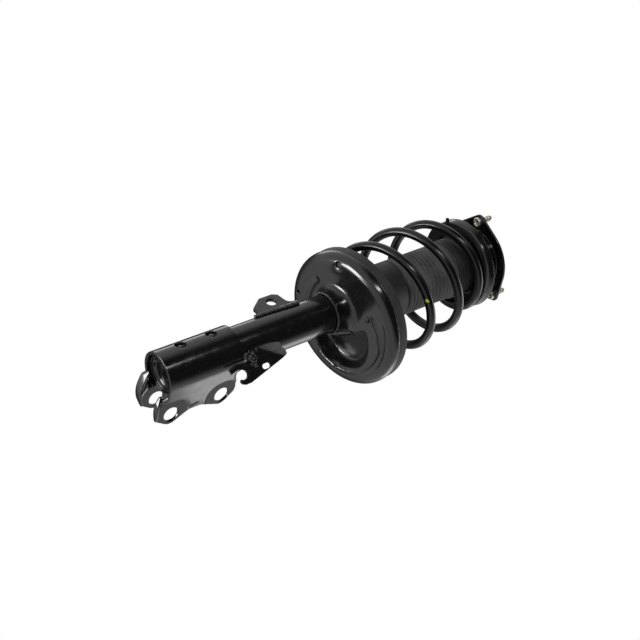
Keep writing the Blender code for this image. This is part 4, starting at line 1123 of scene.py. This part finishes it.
def build_mount_core(rubber, zinc, steel, sweep):
    """What the plate carries: the rubber bush, its sleeve, the washer, the nut and the rod."""
    top = MOUNT_TOP - 1.0
    low = CUP_LOW + 2.9
    bush = turned("mount_rubber_bush", rounded([
        (12.3, low + 2.0, 0.5), (20.3, low, 2.0), (38.0, low, 1.0), (38.0, top - 2.0, 2.0),
        (30.0, top - 2.4, 3.0), (24.0, top - 6.0, 3.0), (18.0, top - 3.4, 3.0),
        (12.3, top - 1.0, 0.5)], 5))
    finished(bush, rubber, "top_mount", ["mount_rubber"])
    sleeve = turned("mount_inner_sleeve", rounded([
        (ROD_BORE, CUP_LOW + 2.6, 0.5), (12.0, CUP_LOW + 2.6, 0.6), (12.0, top, 0.6),
        (ROD_BORE, top, 0.5)], 3))
    finished(sleeve, steel, "top_mount", ["mount_sleeve"])
    low = top + 0.3
    washer = turned("rod_seat_washer", rounded([
        (ROD_BORE, low, 0.4), (17.0, low, 0.7), (17.0, low + 2.5, 0.7),
        (ROD_BORE, low + 2.5, 0.4)], 3))
    finished(washer, zinc, "top_mount", ["rod_washer"])
    low += 2.8
    nut = lofted("rod_top_nut", hex_loops(22.0, low, low + 9.0, ROD_BORE))
    finished(nut, zinc, "top_mount", ["rod_nut"])
    rod = turned("damper_rod", rounded([
        (0.0, 265.0, 0), (7.0, 265.0, 0.8), (7.0, 286.3, 0.2), (11.0, 286.3, 0.8),
        (11.0, 484.85, 0.8), (6.4, 484.85, 0.3), (6.4, ROD_TOP - 1.0, 0.8), (5.4, ROD_TOP, 0.4),
        (0.0, ROD_TOP, 0)], 4), 80)
    path, fade = helix(6.35, 503.0, ROD_TOP - 1.4, 1.5, per_turn=24)
    thread = grown(path_piece("rod_thread", path, [0.66 * f for f in fade]), sweep,
                   {"Sides": 4, "Finish": steel})
    rod = merged("threaded_damper_rod", [rod, thread])
    finished(rod, steel, "top_mount", ["piston_rod"])


# ---------------------------------------------------------------- welds

def build_welds(paint, ripples):
    """Painted-over welds: round the bracket's top edge, the tab, the hose bracket and the seat."""
    lines = {
        "bracket_top_weld": ([polar(26.4, a, 102.6) for a in range(-126, -84, 3)], 3.0, 1.6),
        "tab_face_weld": ([(-11.6, 22.6, z) for z in range(163, 223, 3)], 4.6, 2.1),
        "tab_back_weld": ([(-4.6, 24.9, z) for z in range(163, 223, 3)], 4.6, 2.1),
        "tab_foot_weld": ([polar(26.2, 150.0 + (z - 145.0) / 5.0, z) for z in range(145, 208, 3)],
                          6.0, 2.6),
        "seat_collar_weld": ([polar(26.6, a, 245.6) for a in range(0, 361, 4)], 4.4, 2.0),
    }
    for seed, (name, (path, width, pitch)) in enumerate(lines.items()):
        bead = grown(path_piece(name, path, [1.0] * len(path)), ripples, {
            "Width": width * MM, "Ripple Pitch": pitch * MM, "Seed": seed, "Finish": paint})
        finished(bead, paint, "strut_body", sharp=80.0)
    lumps = []
    for out, z, size in ((14.4, 103.5, 4.0), (18.7, 107.8, 4.6), (21.7, 110.6, 5.0),
                         (24.8, 111.0, 3.2), (29.0, 111.5, 3.6), (12.3, 119.2, 2.4),
                         (15.6, 112.4, 4.4), (20.4, 115.0, 3.0), (26.4, 107.2, 2.4)):
        x, y, _ = hose_point(out, z)
        centre = Vector((x + HOSE_SHEET * math.cos(HOSE_NORMAL),
                         y + HOSE_SHEET * math.sin(HOSE_NORMAL), z))
        dome = [(0.0, -size)] + arc(0.0, 0.0, size, -75.0, 75.0, 10) + [(0.0, size)]
        lumps.append(turned("weld_lump", dome, 24, Matrix.Translation(centre)))
    for z in WRAP_HOLES:
        seat = Matrix.Translation(polar(24.6, WRAP_HOLE_ANGLE, z)) @ Matrix.Rotation(
            math.radians(WRAP_HOLE_ANGLE), 4, "Z") @ Matrix.Rotation(math.pi / 2, 4, "Y")
        dome = [(0.0, 0.0), (4.6, 0.0), (4.3, 1.4), (3.1, 2.5), (1.5, 3.1), (0.0, 3.3)]
        lumps.append(turned("plug_weld", dome, 24, seat))
    cluster = merged("hose_bracket_weld_lumps", lumps)
    finished(cluster, paint, "strut_body", sharp=80.0)


# ---------------------------------------------------------------- camera, light and floor

def place_camera():
    """The camera, whose view was fitted to the edges and holes in the photograph."""
    data = bpy.data.cameras.new("catalogue_camera")
    data.lens = 73.125
    data.sensor_width = 36.0
    data.clip_start = 0.05
    data.clip_end = 50.0
    camera = placed("catalogue_camera", data)
    camera.location = CAMERA_SPOT
    camera.rotation_euler = CAMERA_TURN
    bpy.context.scene.camera = camera


def heading(azimuth, elevation):
    """The unit vector at an azimuth from +X and an elevation, both in degrees."""
    turn, lift = math.radians(azimuth), math.radians(elevation)
    return Vector((math.cos(lift) * math.cos(turn), math.cos(lift) * math.sin(turn),
                   math.sin(lift)))


def place_lamp(name, spot, aim, size, radiance):
    """A softbox at a spot that faces an aim. Its power gives the brightness that it shows."""
    data = bpy.data.lights.new(name, "AREA")
    data.shape = "RECTANGLE"
    data.size, data.size_y = size
    data.energy = radiance * math.pi * size[0] * size[1]
    lamp = placed(name, data)
    lamp.location = spot
    away = (Vector(spot) - Vector(aim)).normalized()
    across = Vector((0.0, 0.0, 1.0)).cross(away).normalized()
    up = away.cross(across)
    lamp.rotation_euler = Matrix((across, up, away)).transposed().to_euler()
    lamp.visible_camera = False


def build_world():
    """A white surround for the eye, mirrors and glass, and a softer one for plain light."""
    world = bpy.data.worlds.new("studio_surround")
    world.use_nodes = True
    tree = world.node_tree
    back = tree.nodes["Background"]
    back.inputs["Color"].default_value = (1.0, 1.0, 1.0, 1.0)
    ray = add(tree, "ShaderNodeLightPath")
    seen = add(tree, "ShaderNodeMath", {"operation": "MAXIMUM"}, {
        0: ray.outputs["Is Camera Ray"], 1: ray.outputs["Is Glossy Ray"]})
    seen = add(tree, "ShaderNodeMath", {"operation": "MAXIMUM"}, {
        0: seen.outputs["Value"], 1: ray.outputs["Is Transmission Ray"]})
    level = add(tree, "ShaderNodeMapRange", {"To Min": 0.5, "To Max": 1.0},
                {"Value": seen.outputs["Value"]})
    tree.links.new(level.outputs["Result"], back.inputs["Strength"])
    bpy.context.scene.world = world


def build_floor():
    """A pale floor under the strut that shows from above and is clear from below."""
    corners = [(x * FLOOR_REACH, y * FLOOR_REACH, FLOOR_HEIGHT)
               for x, y in ((-1, -1), (1, -1), (1, 1), (-1, 1))]
    floor = mesh_piece("studio_floor", corners, [(0, 1, 2, 3)], turn_out=False)
    material = bpy.data.materials.new("white_studio_floor")
    material.use_nodes = True
    tree = material.node_tree
    shader = tree.nodes["Principled BSDF"]
    shader.inputs["Base Color"].default_value = linear("#f4f4f4")
    shader.inputs["Roughness"].default_value = 0.8
    shader.inputs["Specular IOR Level"].default_value = 0.0
    # A studio floor lit apart from the strut, which burns out to white as the sweep does.
    shader.inputs["Emission Color"].default_value = (1.0, 1.0, 1.0, 1.0)
    shader.inputs["Emission Strength"].default_value = 0.46
    side = add(tree, "ShaderNodeNewGeometry")
    clear = add(tree, "ShaderNodeBsdfTransparent")
    mixed = add(tree, "ShaderNodeMixShader", {}, {
        0: side.outputs["Backfacing"], 1: shader.outputs["BSDF"], 2: clear.outputs["BSDF"]})
    tree.links.new(mixed.outputs["Shader"], tree.nodes["Material Output"].inputs["Surface"])
    floor.data.materials.append(material)
    floor.visible_shadow = False
    floor.visible_glossy = False
    floor.visible_diffuse = False


def build_flag(name, azimuth, elevation, full, clear_by, darkness):
    """A black cloth on a dome round the strut, seen only in reflections.

    It is dark to one angle off its middle and fades out by another, both in degrees."""
    middle = heading(azimuth, elevation)
    spin = middle.to_track_quat("Z", "Y").to_matrix().to_4x4()
    bands, sides = 18, 48
    points = []
    for k in range(bands + 1):
        lean = math.radians(2.0 + (clear_by + 4.0) * k / bands)
        points += [spin @ Vector(polar(FLAG_REACH * math.sin(lean), 360.0 * i / sides,
                                       FLAG_REACH * math.cos(lean))) + OBJECT_MIDDLE / MM
                   for i in range(sides)]
    faces = [(low + i, low + (i + 1) % sides, low + sides + (i + 1) % sides, low + sides + i)
             for low in range(0, bands * sides, sides) for i in range(sides)]
    faces.append(tuple(range(sides)))
    card = mesh_piece(name, points, faces, turn_out=False)
    material = bpy.data.materials.new(f"{name}_velvet")
    material.use_nodes = True
    tree = material.node_tree
    shader = tree.nodes["Principled BSDF"]
    shader.inputs["Base Color"].default_value = linear("#050505")
    shader.inputs["Roughness"].default_value = 1.0
    shader.inputs["Specular IOR Level"].default_value = 0.0
    place = add(tree, "ShaderNodeTexCoord").outputs["Object"]
    spoke = add(tree, "ShaderNodeVectorMath", {"operation": "SUBTRACT", 1: OBJECT_MIDDLE},
                {0: place})
    spoke = add(tree, "ShaderNodeVectorMath", {"operation": "NORMALIZE"},
                {0: spoke.outputs["Vector"]})
    lean = add(tree, "ShaderNodeVectorMath", {"operation": "DOT_PRODUCT", 1: middle},
               {0: spoke.outputs["Vector"]})
    fade = add(tree, "ShaderNodeMapRange", {
        "From Min": math.cos(math.radians(clear_by)), "From Max": math.cos(math.radians(full)),
        "To Max": darkness}, {"Value": lean.outputs["Value"]})
    clear = add(tree, "ShaderNodeBsdfTransparent")
    mixed = add(tree, "ShaderNodeMixShader", {}, {
        0: fade.outputs["Result"], 1: clear.outputs["BSDF"], 2: shader.outputs["BSDF"]})
    tree.links.new(mixed.outputs["Shader"], tree.nodes["Material Output"].inputs["Surface"])
    card.data.materials.append(material)
    card.visible_camera = False
    card.visible_shadow = False
    card.visible_diffuse = False
    card.visible_transmission = False


def light_studio():
    """Softboxes for the long highlights, and a low one and a strip for the seat's shoulder."""
    place_lamp("side_softbox", (0.62, -0.25, 0.49), (0.0, 0.0, 0.05), (0.34, 0.3), 2.0)
    place_lamp("back_strip", (-0.1, 0.85, 0.62), (-0.1, 0.0, 0.62), (0.16, 0.6), 2.4)
    place_lamp("low_softbox", SEAT_MIDDLE + heading(110.0, -68.0), SEAT_MIDDLE, (0.5, 0.34), 21.0)
    place_lamp("front_strip", SEAT_MIDDLE + heading(-153.0, -5.0), SEAT_MIDDLE, (0.1, 0.56), 18.0)
    facet = Vector((0.02, -0.05, 0.14))
    place_lamp("facet_softbox", facet + 0.9 * heading(-165.0, 50.0), facet, (0.22, 0.22), 1.7)
    place_lamp("overhead_softbox", OBJECT_MIDDLE + 1.3 * heading(-50.0, 65.0), OBJECT_MIDDLE,
               (0.8, 0.8), 2.0)


def main():
    """Sets the stage, makes the finishes and builds every piece in turn."""
    scene = bpy.context.scene
    scene.view_settings.view_transform = "Standard"
    place_camera()
    build_world()
    build_floor()
    build_flag("camera_side_flag", -131.0, 28.0, 48.0, 73.0, 0.95)
    build_flag("far_side_flag", 50.0, 5.0, 32.0, 52.0, 0.92)
    light_studio()
    paint = black_enamel()
    coat = spring_coating(PAINT_DAB)
    boot_rubber = moulded_rubber("boot_rubber", "#121213", "#303031", 0.52)
    # A lighter copy of the boot rubber for the ribs, a painted highlight standing in for light on
    # the rib crests.
    rib_rubber_painted_highlight = moulded_rubber("rib_rubber_painted_highlight", "#333334", "#626263", 0.50)
    seat_rubber = moulded_rubber("seat_rubber", "#1c1c1c", "#333332", 0.62)
    pad_rubber = moulded_rubber("upper_pad_rubber", "#070707", "#101010", 0.36, 0.16)
    zinc = yellow_zinc()
    steel = ground_steel()
    nylon = moulded_rubber("moulded_nylon", "#5c5b55", "#77766f", 0.45)
    foam = moulded_rubber("bump_stop_foam", "#8a7f5c", "#a39770", 0.80)
    sweep, ripples, ribs = sweep_tree(), weld_tree(), rib_tree()
    build_tube(paint)
    build_bracket(paint)
    build_link_tab(paint)
    build_hose_bracket(paint)
    build_lower_seat(paint)
    build_lower_insulator(seat_rubber)
    build_spring(coat, sweep)
    build_boot(boot_rubber, rib_rubber_painted_highlight, ribs)
    build_upper_seat(paint, pad_rubber)
    build_mount_plate(paint)
    build_studs(zinc, sweep)
    build_mount_core(pad_rubber, zinc, steel, sweep)
    build_welds(paint, ripples)
    carried = {
        "tube_end_cap": paint, "pressure_cylinder": steel, "base_valve": steel,
        "rod_guide": steel, "oil_seal": seat_rubber, "piston": steel, "rebound_stop": nylon,
        "bump_stop": foam, "bearing_lower_race": steel, "bearing_cage": nylon,
        "bearing_upper_race": steel}
    for node, material in carried.items():
        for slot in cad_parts[node].material_slots:
            slot.material = material


main()
